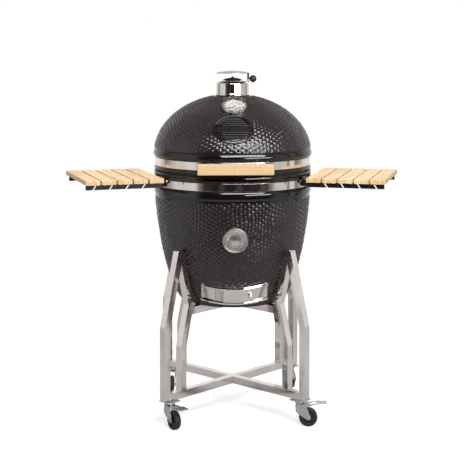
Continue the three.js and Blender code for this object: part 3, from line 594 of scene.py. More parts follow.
def dimpled_shell(below, path, above, dimples, relief, smooth_spot):
    """A closed shell of revolution: plain rows, a dimpled stretch, plain rows back to the start."""
    bm = bmesh.new()
    layer = bm.verts.layers.float.new("crest")
    columns = FINE * dimples
    stations = dimple_rows(path, dimples)
    count = len(stations)
    tone = {}
    rows = [ring(bm, *point, columns // share) for point, share in below]
    first = len(rows)
    for i in range(count + 1):
        row = []
        for column in range(columns):
            t = i - 0.5 if column % 2 else min(i, count - 1)
            t = max(0.0, min(t, count - 1.0))
            turn = 2 * math.pi * column / columns
            edge = min(1.0, t / 2, (count - 1 - t) / 2)
            steady = min(1.0, t / STEADY_ROWS, (count - 1 - t) / STEADY_ROWS)
            around = Vector((math.cos(turn) * 2.6, math.sin(turn) * 2.6, t * 0.035))
            wave = noise.noise(around) * WAVE * steady
            drift = noise.noise(around * 1.4 + Vector((0, 0, 7))) * DRIFT * steady
            spot, normal = station_at(stations, t + wave)
            angle = turn + drift * 2 * math.pi / columns
            direction = Vector((math.cos(angle), math.sin(angle)))
            rise = crest(column, t, dimples, tone) * edge
            calm = smooth_spot(Vector((spot.x * direction.x, spot.x * direction.y, spot.y)))
            rise = rise * (1 - calm) + CALM_RISE * calm
            spot = spot + normal * (rise - 0.5 * edge) * relief
            vertex = bm.verts.new((spot.x * direction.x, spot.x * direction.y, spot.y))
            # The stored crest value tints the glaze browner: partly thin glaze, partly painted
            # highlight on the relief.
            vertex[layer] = rise * (1 - calm) + CALM_TINT * calm
            row.append(vertex)
        rows.append(row)
    rows += [ring(bm, *point, columns // share) for point, share in above]
    pairs = list(zip(rows, rows[1:]))
    if rows[0][0] is not rows[0][1]:
        pairs.append((rows[-1], rows[0]))
    for index, (low, high) in enumerate(pairs):
        join = dimple_faces if first <= index < first + count else join_rings
        join(bm, low, high)
    bmesh.ops.remove_doubles(bm, verts=bm.verts, dist=0.002)
    return bm


def dimple_faces(bm, low, high):
    for k in range(len(low)):
        after = (k + 1) % len(low)
        if k % 2:
            faces = ((low[k], low[after], high[k]), (low[after], high[after], high[k]))
        else:
            faces = ((low[k], low[after], high[after]), (low[k], high[after], high[k]))
        for corners in faces:
            bm.faces.new(corners)


def no_spot(point):
    return 0.0


# ---- Frames that several pieces share ----

pointer = JOINTS["thermometer_pointer"]
THERMO = axes_at(pointer["pos_m"], (1, 0, 0), -Vector(pointer["axis"]))
slider = JOINTS["draft_door_slide"]
DRAFT = axes_at(slider["pos_m"], (1, 0, 0), slider["axis"])

BASE_TAPER = [
    (199, 438), (222, 470), (242, 520), (261, 580), (275.5, 640), (286, 700), (295.5, 760),
    (302, 820), (303.5, 850),
]
DOME_CENTRE_Z = 1008
DOME_R = 309
DOME_H = 230
BADGE = (-6.0, 1117.0)  # the badge's middle: X, and Z on the dome
BADGE_HALF = (74.0, 60.0)


def dome_spot(turn):
    """A point of the dome's side view, from its rim (0) to its top (90 degrees)."""
    return Vector((DOME_R * math.cos(turn), DOME_CENTRE_Z + DOME_H * math.sin(turn)))


def dome_angle(z):
    return math.asin((z - DOME_CENTRE_Z) / DOME_H)


BADGE_TURN = dome_angle(BADGE[1])
BADGE_ARC = math.hypot(DOME_R * math.sin(BADGE_TURN), DOME_H * math.cos(BADGE_TURN))


def on_dome(across, up, out=0.0):
    """A point on the dome's front: across and up from the badge's middle, out along the normal."""
    turn = BADGE_TURN + up / BADGE_ARC
    spot = dome_spot(turn)
    normal = Vector((math.cos(turn) / DOME_R, math.sin(turn) / DOME_H)).normalized()
    spot = spot + normal * out
    swing = (across + BADGE[0]) / DOME_R / math.cos(BADGE_TURN)
    return Vector((spot.x * math.sin(swing), -spot.x * math.cos(swing), spot.y))


def badge_calm(point):
    """1 inside the badge's oval, 0 outside, on the lid's front."""
    if point.y > 0 or point.z < DOME_CENTRE_Z:
        return 0.0
    swing = math.atan2(point.x, -point.y)
    across = swing * DOME_R * math.cos(BADGE_TURN) - BADGE[0]
    turn = dome_angle(min(point.z, DOME_CENTRE_Z + DOME_H))
    up = (turn - BADGE_TURN) * BADGE_ARC
    away = math.hypot(across / BADGE_HALF[0], up / BADGE_HALF[1])
    return max(0.0, min(1.0, (1.06 - away) / 0.06))


# ---- Ceramic pieces ----


def rim_rows(points, share=1):
    return [(point, share) for point in points]


def ceramic_base():
    below = rim_rows([(0, 436), (120, 436), (190, 436)], COARSE) + rim_rows([(196, 436.4)])
    outside = [
        (304.4, 852.5), (306.0, 855), (307.2, 860), (307.6, 867), (307.2, 874), (305.8, 881),
        (303.6, 885), (302, 886.2), (302, 916.8), (304, 918), (307.6, 920.2), (309, 924),
        (309, 936.5), (307.8, 940.2), (305, 942), (286, 942),
    ]
    inside = [
        (283.6, 941), (283, 938), (281, 860), (277, 810), (262, 700), (238, 580), (216, 520),
        (196, 478), (180, 462), (0, 462),
    ]
    above = rim_rows(outside) + rim_rows(inside, COARSE)
    bm = dimpled_shell(below, smooth_path(BASE_TAPER), above, BASE_DIMPLES, BASE_RELIEF, no_spot)
    obj = piece("ceramic_base", bm, "root", "glaze", replaces=["base_shell"], angle=SHELL_SHARP)
    half = math.radians(30)  # a seat for the draught plate, then the opening behind it
    cut(obj, sector(251.4, 300, -half, half, -41, 41, 32), DRAFT)
    cut(obj, block(-50, 50, -275, -180, -25, 25), DRAFT)
    shade(obj.data, SHELL_SHARP)


def ceramic_lid():
    inside = [(283, 1000), (283, 949.5), (284, 947)]
    outside = [
        (286.5, 946.3), (303, 946.3), (306.5, 947.4), (308, 950.5), (308, 957.5), (306.8, 961),
        (304, 962.6), (302, 963.3), (302, 994.5), (305.5, 996), (309.6, 999.5), (311.4, 1004),
        (311.8, 1009), (311.0, 1015), (309.4, 1020.5), (307.6, 1024.5), (306.2, 1026.6),
    ]
    below = rim_rows(inside, COARSE) + rim_rows(outside)
    rim_turn = dome_angle(1027.5)
    top_turn = dome_angle(1230.5)
    path = [dome_spot(rim_turn + (top_turn - rim_turn) * k / 160) for k in range(161)]
    crown = []
    inner_r, inner_h, hole_r, steps = 283, 206, 50, 15
    for k in range(steps):
        turn = math.acos(hole_r / inner_r) * (1 - k / steps)
        crown.append((inner_r * math.cos(turn), DOME_CENTRE_Z + inner_h * math.sin(turn)))
    above = rim_rows([(75, 1231), (52, 1231)]) + rim_rows([(50, 1230), *crown], COARSE)
    bm = dimpled_shell(below, path, above, LID_DIMPLES, LID_RELIEF, badge_calm)
    obj = piece("ceramic_lid", bm, "lid", "glaze", replaces=["lid_shell"], angle=SHELL_SHARP)
    cut(obj, revolve([(0, -60), (8, -60), (8, 20), (0, 20)], 32), THERMO)
    shade(obj.data, SHELL_SHARP)


def badge():
    """A plain oval cartouche with fluted bars, raised in the glaze."""
    bm = bmesh.new()
    for grow, wire in ((1.0, 3.5), (0.84, 1.8)):
        half_x, half_y = BADGE_HALF[0] * grow, BADGE_HALF[1] * grow
        oval = [on_dome(half_x * math.cos(t), half_y * math.sin(t), 1.5) for t in evenly(96)]
        tube(oval, wire, 10, True, bm)
    for up in (-34, -24, 24, 34, 43):
        reach = BADGE_HALF[0] * 0.74 * math.sqrt(1 - (up / BADGE_HALF[1]) ** 2)
        line = [on_dome(reach * (k / 12 - 1), up, 0.4) for k in range(25)]
        tube(line, 2.8, 8, False, bm)
    for edge in (-15, 15):
        line = [on_dome(88 * (k / 16 - 1), edge, 0.5) for k in range(33)]
        tube(line, 2.0, 8, False, bm)
    for k in range(-4, 5):
        diamond = [(k * 15 - 4.5, 0), (k * 15, -7), (k * 15 + 4.5, 0), (k * 15, 7)]
        low = [bm.verts.new(on_dome(x, y, -1.0)) for x, y in diamond]
        top = bm.verts.new(on_dome(k * 15, 0, 4.2))
        bm.faces.new(low)
        for a, b in zip(low, low[1:] + low[:1]):
            bm.faces.new((a, b, top))
    piece("lid_badge", bm, "lid", "glaze", angle=50)


def ceramic_inside():
    bowl = [
        (148, 462.3), (168, 462.3), (186, 482), (206, 524), (225, 578), (238, 640), (246, 690),
        (228, 690), (216, 620), (203, 582), (182, 580), (176, 545), (162, 505),
    ]
    bowl = revolve(rounded(bowl, 5), 96, True)
    obj = piece("fire_bowl", bowl, "root", "fired_clay", replaces=["fire_box"])
    cut(obj, block(-55, 55, -260, -100, 472, 548))
    shade(obj.data)
    collar = [(228, 690.3), (247, 690.3), (257, 764), (264, 827), (267, 866), (250, 866), (240, 764)]
    collar = revolve(rounded(collar, 5), 96, True)
    piece("fire_collar", collar, "root", "fired_clay", replaces=["fire_ring"])
    carry("charcoal_grate", "cast_iron", 0.8)


def cooking_grate():
    """A wire grate: round rim, close bars and two cross wires."""
    bm = bmesh.new()
    low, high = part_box("cooking_grate")
    middle = (low.z + high.z) / 2 / MM
    radius = high.x / MM - 3.5
    rim = [(radius * math.cos(t), radius * math.sin(t), middle) for t in evenly(96)]
    tube(rim, 3.4, 10, True, bm)
    pitch = 17.0
    for k in range(-15, 16):
        reach = math.sqrt(radius**2 - (k * pitch) ** 2)
        rod(2.4, (k * pitch, -reach, middle + 0.8), (k * pitch, reach, middle + 0.8), bm, 10)
    for y in (-120, 0, 120):
        reach = math.sqrt(radius**2 - y**2)
        rod(3.0, (-reach, y, middle - 0.4), (reach, y, middle - 0.4), bm, 10)
    piece("wire_grate", bm, "root", "satin_steel", replaces=["cooking_grate"])


def gaskets():
    for node, body, inner in (
        ("base_gasket", "root", 284),
        ("lid_gasket", "lid", 284),
        ("vent_gasket", "lid", 52),
    ):
        low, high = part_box(node)
        outline = rounded(box_outline(inner, high.x / MM, low.z / MM, high.z / MM), 0.5)
        seal = revolve(outline, 128, True)
        piece(node.replace("gasket", "seal"), seal, body, "felt", replaces=[node])


# ---- Bands, hinge and handle ----

BAND_R = 302.3
BAND_THICK = 2.5
_, HINGE_Y, HINGE_Z = (value / MM for value in JOINTS["lid_hinge"]["pos_m"])


def band(name, z0, z1, body, node):
    outline = rounded(box_outline(BAND_R, BAND_R + BAND_THICK, z0, z1), 0.9, 3)
    return piece(name, revolve(outline, 192, True), body, "polished_steel", replaces=[node])


def hinge_rod(radius, x0, x1, into=None, segments=32, soft=0.4):
    """A round bar on the lid hinge's axis."""
    return rod(radius, (x0, HINGE_Y, HINGE_Z), (x1, HINGE_Y, HINGE_Z), into, segments, soft)


def hinge_plates(name, points, at, body):
    bm = bmesh.new()
    for side in (-1, 1):
        prism(points, 4, bm, "x", side * at - 2)
    obj = piece(name, bm, body, "polished_steel")
    cut(obj, hinge_rod(5.4, -90, 90, soft=0))
    ease(obj, 0.6)


def bands():
    obj = band("base_steel_band", 886.5, 916.5, "root", "base_band")
    cut(obj, block(-0.4, 0.4, -320, -290, 880, 925))
    shade(obj.data)
    band("lid_steel_band", 963.5, 994.2, "lid", "lid_band")
    eye = (HINGE_Y, HINGE_Z)
    lid_plate = [(303, 966), (HINGE_Y - 14, 948), *arc(eye, 14, -120, 60, 12)]
    lid_plate += [(322, 992), (303, 992)]
    base_plate = [(299, 888), (322, 888), *arc(eye, 15.8, -30, 150, 12)]
    base_plate += [(316, 930), (311, 917), (299, 915)]
    hinge_plates("lid_hinge_plates", lid_plate, 48, "lid")
    hinge_plates("base_hinge_plates", base_plate, 58, "root")


def hinge_pin():
    bm = hinge_rod(5, -66, 64)
    hinge_rod(9, 61, 67, bm, 32, 1.5)
    hinge_rod(9, -69, -61, bm, 6, 0.8)
    piece("hinge_pin_bolt", bm, "root", "satin_steel", replaces=["hinge_pin"])
    coils, steps, half, coil_r = 9, 20, 38, 9.5
    path = []
    for k in range(coils * steps + 1):
        turn = 2 * math.pi * k / steps
        x = half * (2 * k / (coils * steps) - 1)
        path.append((x, HINGE_Y + coil_r * math.cos(turn), HINGE_Z + coil_r * math.sin(turn)))
    piece("hinge_coil", tube(path, 1.5, 8), "root", "dark_steel", replaces=["hinge_spring"])


def handle():
    low, high = (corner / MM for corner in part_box("handle_grip"))
    bm = block(low.x, high.x, low.y, high.y, low.z, high.z, None, 3.5, 4)
    piece("bamboo_grip", bm, "lid", "bamboo", replaces=["handle_grip"])
    back = high.y
    bm = block(-118, 118, back + 0.3, back + 3.3, 964, 990, None, 0.8)
    for side in (-1, 1):
        x = side * 95
        block(x - 2, x + 2, back + 1, -290.8, 968, 990, bm, 0.5)
        lean = math.asin(x / 304.8)
        sector(305.1, 308.1, lean - 0.055, lean + 0.055, 966, 992, 4, bm)
        for z in (972, 986):
            start = Vector((math.sin(lean + side * 0.035), -math.cos(lean + side * 0.035), 0))
            foot = start * 307.5
            foot.z = z
            tip = start * 310.5
            tip.z = z
            rod(3, foot, tip, bm, 16, 1)
    piece("grip_bracket", bm, "lid", "polished_steel", replaces=["handle_bracket"])


# ---- Thermometer ----


def thermometer():
    case = [
        (0, -3.5), (43, -3.5), (45.5, -2.5), (47.5, 1), (47.5, 11.5), (46.6, 14.5), (44.6, 16),
        (42.6, 15.4), (41.8, 13), (41.8, 8.5), (0, 8.5),
    ]
    bm = revolve(case, 96)
    poured(revolve([(0, -75), (2, -75), (3.1, -72), (3.1, -16), (7, -15), (7, -3), (0, -3)], 24), bm)
    piece("thermo_bezel", bm, "lid", "polished_steel", THERMO, ["thermometer_case"])
    dial = revolve(rounded([(0, 8.8), (41.2, 8.8), (41.2, 9.8), (0, 9.8)], 0.2), 96)
    piece("thermo_dial", dial, "lid", "dial_face", THERMO, ["thermometer_dial"])
    ink = bmesh.new()
    for k in range(55):
        turn = math.radians(225 - k * 5)
        long_mark = k % 6 == 0
        inner = 31 if long_mark else 34
        width = 0.8 if long_mark else 0.4
        heading = Vector((math.cos(turn), math.sin(turn)))
        side = Vector((-heading.y, heading.x)) * width
        near, far = heading * inner, heading * 37.5
        prism([near - side, far - side, far + side, near + side], 0.25, ink, "z", 9.75)
    piece("thermo_scale", ink, "lid", "ink", THERMO)
    zone = sector(25.5, 29, math.radians(60), math.radians(135), 9.75, 10.0, 24)
    piece("thermo_zone", zone, "lid", "needle_red", THERMO)
    hand = prism([(-9, -1.6), (-9, 1.6), (33, 0.35), (33, -0.35)], 0.8, None, "z", 10.8)
    poured(revolve(rounded([(0, 10.4), (3.6, 10.4), (3.6, 12.2), (0, 12.4)], 0.5), 32), hand)
    spin = Matrix.Rotation(math.radians(210), 4, "Z")
    piece("thermo_hand", hand, "needle", "ink", THERMO @ spin, ["thermometer_needle"])
    lens = [(0, 13.2), (41, 13.2), (41.3, 13.6), (41.3, 14.2), (36, 14.9), (20, 15.5), (0, 15.7)]
    piece("thermo_glass", revolve(lens), "lid", "clear_glass", THERMO, ["thermometer_lens"])


# ---- Chimney ----


CAP_X, _, CAP_Z = (value / MM for value in JOINTS["rain_cap_flip"]["pos_m"])
SLOTS = [Matrix.Rotation(t + math.pi / 2, 4, "Z") for t in evenly(5)]


def cap_rod(radius, y0, y1, into=None, segments=24, soft=0.4):
    """A round bar on the rain cap's hinge axis."""
    return rod(radius, (CAP_X, y0, CAP_Z), (CAP_X, y1, CAP_Z), into, segments, soft)


def chimney():
    wall = [
        (0, 1283), (50, 1283), (60.5, 1275), (62, 1234.2), (63, 1233.6), (65.4, 1233.6),
        (66, 1234.4), (65.9, 1238), (64.9, 1240), (64.86, 1241), (64.25, 1279), (64.2, 1280),
        (63.2, 1281.8), (54, 1288.4), (52.5, 1289), (41, 1289), (40, 1288.4), (40, 1286),
        (0, 1286),
    ]
    wall = revolve(wall, 128)
    obj = piece("chimney_housing", wall, "lid", "polished_steel", replaces=["vent_housing"])
    for turn in SLOTS:
        cut(obj, block(10, 34, -6.5, 6.5, 1270, 1292), turn)
    cut(obj, rod(3.6, (0, 0, 1270), (0, 0, 1300), None, 32, 0))  # for the daisy wheel's spindle
    shade(obj.data)
    ears = bmesh.new()
    outline = [(52, 1284), (63, 1281), (68, 1286), *arc((CAP_X, CAP_Z), 6, 0, 180, 12)]
    for side in (-1, 1):
        prism(outline, 3, ears, "y", side * 8.5 - 1.5)
    obj = piece("chimney_ears", ears, "lid", "satin_steel")
    cut(obj, cap_rod(2.9, -20, 20, soft=0))
    ease(obj, 0.5)
    pin = cap_rod(2.5, -12, 12)
    for side in (-1, 1):
        cap_rod(4.5, side * 11, side * 13.5, pin, soft=1)
    piece("cap_hinge_pin", pin, "lid", "satin_steel", replaces=["rain_cap_pin"])
    daisy_wheel()
    rain_cap()


def daisy_wheel():
    steps = 16
    top, base, radius = 1302, 1287.5, 37.5
    crown = []
    under = []
    for k in range(steps + 1):
        r = radius * (steps - k) / steps
        z = base + (top - base) * math.sqrt(1 - (r / (radius + 4)) ** 2)
        crown.append((r, z))
        under.insert(0, (max(r - 1.5, 0), z - 3))
    bm = revolve([*under, (radius, crown[0][1] - 3), *crown], 96)
    obj = piece("daisy_cover", bm, "daisy", "cast_iron", replaces=["daisy_wheel"])
    petal = rounded([(12, -1.5), (34, -6), (35, 0), (34, 6), (12, 1.5)], 3)
    for turn in SLOTS:
        cut(obj, prism(petal, 40, None, "z", 1280), turn)
    shade(obj.data)
    knob = [(0, 1284), (3, 1284), (3, 1301), (5.5, 1301.5), (5.8, 1303), (3.4, 1304.2)]
    knob += [(3.6, 1306), (2, 1307), (0, 1307.2)]
    piece("daisy_finial", revolve(knob, 32), "daisy", "cast_iron")


def rain_cap():
    steps = 20
    low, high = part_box("rain_cap")
    radius = -low.x / MM
    edge, crown, thick = 1319.5, 8.0, 2.5
    lower = []
    upper = []
    for k in range(steps + 1):
        r = radius * k / steps
        z = edge + crown * (1 - (r / radius) ** 2)
        lower.append((r, z))
        upper.insert(0, (r, z + thick))
    brim = [(radius - 1, lower[-1][1]), (radius, edge + 0.8), (radius, edge + 1.7)]
    outline = [*lower[:-1], *brim, *upper[1:]]
    piece("cap_disc", revolve(outline, 128), "cap", "satin_steel", replaces=["rain_cap"])
    arm = block(CAP_X - 4, CAP_X + 4, -5, 5, CAP_Z, edge + 1.4, None, 0.8)
    obj = piece("cap_arm", arm, "cap", "dark_steel")
    cut(obj, cap_rod(5, -6, 6, segments=32), operation="UNION")
    cut(obj, cap_rod(2.9, -20, 20, soft=0))
    shade(obj.data)
    low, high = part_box("rain_cap_knob")
    centre = (high.z + low.z) / 2 / MM
    ball_r = 14
    middle = high.x / MM - ball_r
    ball = bmesh.new()
    bmesh.ops.create_uvsphere(ball, u_segments=40, v_segments=24, radius=ball_r)
    bmesh.ops.transform(ball, matrix=Matrix.Translation((middle, 0, centre)), verts=ball.verts)
    rod(4, (low.x / MM, 0, centre), (middle - 8, 0, centre), ball)
    piece("cap_ball", ball, "cap", "knob_black", replaces=["rain_cap_knob"])


# ---- Front of the base ----


def medallion():
    low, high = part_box("front_medallion")
    centre = Vector((0, -286.9, (low.z + high.z) / 2 / MM)) * MM
    tilt = math.radians(10.6)
    place = axes_at(centre, (1, 0, 0), (0, -math.cos(tilt), -math.sin(tilt)))
    outline = [(0, -2)]
    outline += [(44, -3.5), (47, -3.6), (48, -2.5), (48, 3.5), (47.2, 5.2), (45.5, 6)]
    outline += [(43, 6), (41.5, 5.2), (41, 4.2), (36, 3.9), (35.4, 4.6), (34, 4.6)]
    outline += [(33.4, 3.8), (27, 3.6), (26.4, 4.3), (25.2, 4.3), (24.6, 3.5)]
    outline += [(18, 3.4), (14, 4.4), (8, 5.2), (0, 5.5)]
    bm = revolve(outline, 128)
    for t in evenly(24):
        spoke = Vector((math.cos(t), math.sin(t), 0))
        rod(1.0, spoke * 27.5 + Vector((0, 0, 3.6)), spoke * 32.8 + Vector((0, 0, 3.8)), bm, 8)
    piece("steel_medallion", bm, "root", "satin_steel", place, ["front_medallion"])


DRAFT_R = 252
SCREW_ACROSS = 122  # outside the doors' edges, which come to 115 mm off the middle
LEAF_HALF, LEAF_TALL = 58, 31.5  # half sizes of each sliding door
DOOR_SHIFT, SCREEN_SHIFT = 16, -22  # where their middles are at rest


def arc_point(radius, across, up):
    """A point of the draught track: across is measured along the sheet."""
    turn = across / DRAFT_R - math.pi / 2
    return Vector((radius * math.cos(turn), radius * math.sin(turn), up))


def screw_heads(spots, radius, reach, bm):
    for across, up in spots:
        start = arc_point(reach, across, up)
        end = arc_point(reach + 2.0, across, up)
        rod(radius, start, end, bm, 20, 1.2)


def draught():
    half = math.radians(29.5)
    r = DRAFT_R
    sheet = sector(r, r + 2, -half, half, -40, 40, 48)
    obj = piece("draught_plate", sheet, "root", "polished_steel", DRAFT, ["draft_frame"])
    cut(obj, block(-50, 50, -r - 20, -r + 20, -25, 25), DRAFT)
    ease(obj, 0.5)
    rails = bmesh.new()
    for wall, lip in (((33, 35), (28.5, 35)), ((-35, -33), (-35, -28.5))):
        sector(r + 1.9, r + 7.5, -half, half, *wall, 48, rails)
        sector(r + 6.6, r + 8, -half, half, *lip, 48, rails)
    piece("draught_rails", rails, "root", "polished_steel", DRAFT)
    screws = bmesh.new()
    for radius, heights in ((3.8, (-22, 0, 22)), (2.4, (-37.5, 37.5))):
        spots = [(side * SCREW_ACROSS, up) for side in (-1, 1) for up in heights]
        screw_heads(spots, radius, r + 2, screws)
    piece("draught_screws", screws, "root", "satin_steel", DRAFT)

    spread = LEAF_HALF / r
    turn = DOOR_SHIFT / r
    leaf = sector(r + 4.4, r + 5.9, turn - spread, turn + spread, -LEAF_TALL, LEAF_TALL, 32)
    obj = piece("draught_slide", leaf, "door", "polished_steel", DRAFT, ["draft_door"])
    ease(obj, 0.4)
    edge = turn + spread
    tab = sector(r + 5.8, r + 18, edge - 0.06, edge - 0.052, -9, 9, 1)
    sector(r + 16, r + 18, edge - 0.085, edge - 0.052, -9, 9, 2, tab)
    obj = piece("draught_slide_tab", tab, "door", "polished_steel", DRAFT)
    ease(obj, 0.4)
    perforated_screen(SCREEN_SHIFT / r)


def perforated_screen(turn):
    """A sheet with round holes: each cell is a square ring of quads round its hole."""
    r0, r1 = DRAFT_R + 2.5, DRAFT_R + 3.9
    pitch, hole_r = 7.1, 2.6
    columns = int((2 * LEAF_HALF - 8) // pitch)
    rows = int((2 * LEAF_TALL - 6) // pitch)
    width = columns * pitch
    height = rows * pitch
    bm = bmesh.new()
    sides = 16
    front, back = {}, {}

    def vertex(store, radius, across, up):
        key = (round(across, 3), round(up, 3))
        if key not in store:
            store[key] = bm.verts.new(arc_point(radius, across + turn * DRAFT_R, up))
        return store[key]

    for column in range(columns):
        for row in range(rows):
            x = (column + 0.5) * pitch - width / 2
            y = (row + 0.5) * pitch - height / 2
            rim = []
            hole = []
            for a in evenly(sides):
                scale = pitch / 2 / max(abs(math.cos(a)), abs(math.sin(a)))
                rim.append((x + scale * math.cos(a), y + scale * math.sin(a)))
                hole.append((x + hole_r * math.cos(a), y + hole_r * math.sin(a)))
            for k in range(sides):
                n = (k + 1) % sides
                for store, radius in ((front, r1), (back, r0)):
                    cell = (rim[k], rim[n], hole[n], hole[k])
                    bm.faces.new([vertex(store, radius, *p) for p in cell])
                inner = [vertex(front, r1, *hole[k]), vertex(front, r1, *hole[n])]
                outer = [vertex(back, r0, *hole[n]), vertex(back, r0, *hole[k])]
                bm.faces.new(inner + outer)
    border(bm, front, back, r0, r1, turn, (width / 2, height / 2))
    piece("perforated_slide", bm, "screen", "polished_steel", DRAFT, ["draft_screen"])


def border(bm, front, back, r0, r1, turn, half):
    """The plain margin round the holes, and the sheet's outer edge."""

    def on_edge(key):
        return any(abs(abs(value) - size) < 1e-3 for value, size in zip(key, half))

    keys = sorted(filter(on_edge, front), key=lambda k: math.atan2(k[1] / half[1], k[0] / half[0]))
    rims = {}
    for key in keys:
        across, up = key[0] / half[0] * LEAF_HALF, key[1] / half[1] * LEAF_TALL
        rims[key] = [bm.verts.new(arc_point(r, across + turn * DRAFT_R, up)) for r in (r1, r0)]
    for a, b in zip(keys, keys[1:] + keys[:1]):
        bm.faces.new((front[a], front[b], rims[b][0], rims[a][0]))
        bm.faces.new((back[a], back[b], rims[b][1], rims[a][1]))
        bm.faces.new((rims[a][0], rims[b][0], rims[b][1], rims[a][1]))


# ---- Cart and casters ----


def cart():
    for node in (*(f"{corner}_leg" for corner in CORNERS), "lower_cross", "upper_cross"):
        carry(node, "cart_steel", 0.8, flat=True)


def casters():
    for corner in CORNERS:
        carry(f"{corner}_caster_plate", "zinc", 0.6)
        carry(f"{corner}_caster_fork", "zinc", 0.5)
        if corner.startswith("front"):
            carry(f"{corner}_brake_pedal", "zinc", 0.4)
        wheel(corner)


def wheel(corner):
    spin = JOINTS[f"{corner}_wheel_spin"]
    place = axes_at(spin["pos_m"], (0, 0, 1), spin["axis"])
    tyre = [(22, -9), (24, -11.3), (29, -12), (33, -10.6), (34.8, -7), (35, 0)]
    tyre += [(r, -z) for r, z in tyre[-2::-1]]
    body, node = f"{corner}_wheel", f"{corner}_caster_wheel"
    piece(f"{corner}_tyre", revolve(tyre, 64, True), body, "rubber", place, [node])
    hub = [(4.5, -13), (9.5, -13), (10.5, -12), (11, -6), (20, -5), (22.6, -8.5)]
    hub += [(22.6, 8.5), (20, 5), (11, 6), (10.5, 12), (9.5, 13), (4.5, 13)]
    piece(f"{corner}_hub", revolve(hub, 48, True), body, "knob_black", place)


# ---- Shelves ----


SLAT_START, SLAT_PITCH, SLAT_WIDTH, SLAT_HALF = 332, 60, 54, 200


def shelves():
    for side in SIDES:
        hinge = JOINTS[f"{side}_shelf_fold"]
        y_axis = Vector(hinge["axis"])
        outward = y_axis.cross(Vector((0, 0, 1)))
        place = axes_at((0, 0, 0), outward, (0, 0, 1))
        look = f"bamboo_{side}"
        LOOKS[look] = bamboo_look(look, math.atan2(y_axis.y, y_axis.x), 1.04)
        # The shelf frames are stainless; their near-black finish is a painted reflection of the dark
        # room in front.
        carry(f"{side}_shelf_frame", "dark_steel", 0.5)
        low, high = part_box(f"{side}_shelf_slat_1")
        z0, z1 = low.z / MM, high.z / MM
        for k in range(5):
            x = SLAT_START + SLAT_PITCH * k
            bm = block(x, x + SLAT_WIDTH, -SLAT_HALF, SLAT_HALF, z0, z1, None, 1.6, 3)
            name, node = f"{side}_bamboo_slat_{k + 1}", f"{side}_shelf_slat_{k + 1}"
            piece(name, bm, f"{side}_shelf", look, place, [node])
        shelf_hardware(side, place)


def shelf_hardware(side, place):
    """Two ears welded to the base band, with the fold pins through the shelf's lugs."""
    hinge = JOINTS[f"{side}_shelf_fold"]
    reach = math.hypot(hinge["pos_m"][0], hinge["pos_m"][1]) / MM
    z = hinge["pos_m"][2] / MM
    ears = bmesh.new()
    pins = bmesh.new()
    for edge in (-1, 1):
        at = edge * 64.3
        root = math.sqrt(303.8**2 - at**2)
        outline = [(root, 889), (reach - 6, 889), (reach + 7, 900)]
        outline += [(reach + 7, 914), (reach - 2, 915.5), (root, 915.5)]
        prism(outline, 4, ears, "y", at - 2)
        rod(4, (reach, edge * 55, z), (reach, edge * 68, z), pins)
        rod(7, (reach, edge * 66.5, z), (reach, edge * 70.5, z), pins, 6, 0.6)
        rod(7, (reach, edge * 54, z), (reach, edge * 57.6, z), pins, 24, 1.2)
    obj = piece(f"{side}_shelf_ears", ears, "root", "polished_steel", place)
    ease(obj, 0.6)
    piece(f"{side}_shelf_pins", pins, "root", "satin_steel", place)


# ---- Stage ----


# The room as the steel sees it: grey levels by the angle round the object, where 0 is the
# camera's side, -90 the left and 90 the right.
ROOM = [
    (-180, 1.0), (-140, 1.0), (-126, 0.75), (-118, 0.30), (-106, 0.50), (-92, 0.85),
    (-58, 0.95), (-52, 0.30), (-44, 0.05), (-24, 0.02), (-17, 0.07), (-11, 0.02), (2, 0.02),
    (8, 0.08), (15, 0.02), (36, 0.03), (44, 0.10), (50, 0.05), (58, 0.40), (64, 0.80),
    (84, 0.75), (88, 0.12), (92, 0.90), (100, 0.90), (104, 0.25), (116, 0.50), (126, 0.90),
    (180, 1.0),
]


AIM_Z = 0.95  # the height that the lights point at
CEILING = (0.25, 0.25, 0.255, 1.0)
WHITE = (1.0, 1.0, 1.0, 1.0)
WARMTH = 0.12


def room_color(graph):
    """The room's grey by azimuth, lighter towards the ceiling and a little warm."""
    view = graph.add("SeparateXYZ", "X", {0: graph.add("TexCoord", "Generated")}).node.outputs
    turn = graph.math("ARCTAN2", view["X"], graph.math("MULTIPLY", view["Y"], -1.0))
    share = graph.math("MULTIPLY_ADD", turn, 0.5 / math.pi, 0.5)
    stops = []
    for angle, grey in ROOM:
        warm = WARMTH * (1 - grey)
        stops.append(((angle + 180) / 360, (grey, grey * (1 - warm), grey * (1 - 1.6 * warm))))
    upward = graph.span(view["Z"], 0.0, 1.0, 0.35, 0.8)
    return graph.mix(upward, graph.ramp(share, stops), CEILING)


def camera_only(graph, seen, otherwise):
    """One shader for what the camera sees and another for all else."""
    sight = graph.add("LightPath", "Is Camera Ray")
    return graph.add("MixShader", 0, {0: sight, 1: otherwise, 2: seen})


FLOOR_R = 2.2
FLOOR_BACK = 0.75  # the disc's middle is behind the grill, so the steel bands see the room
FLOOR_GLOW = 0.5
FLOOR_SHADE = (0.52, 0.52, 0.52, 1.0)  # the floor as the steel sees it


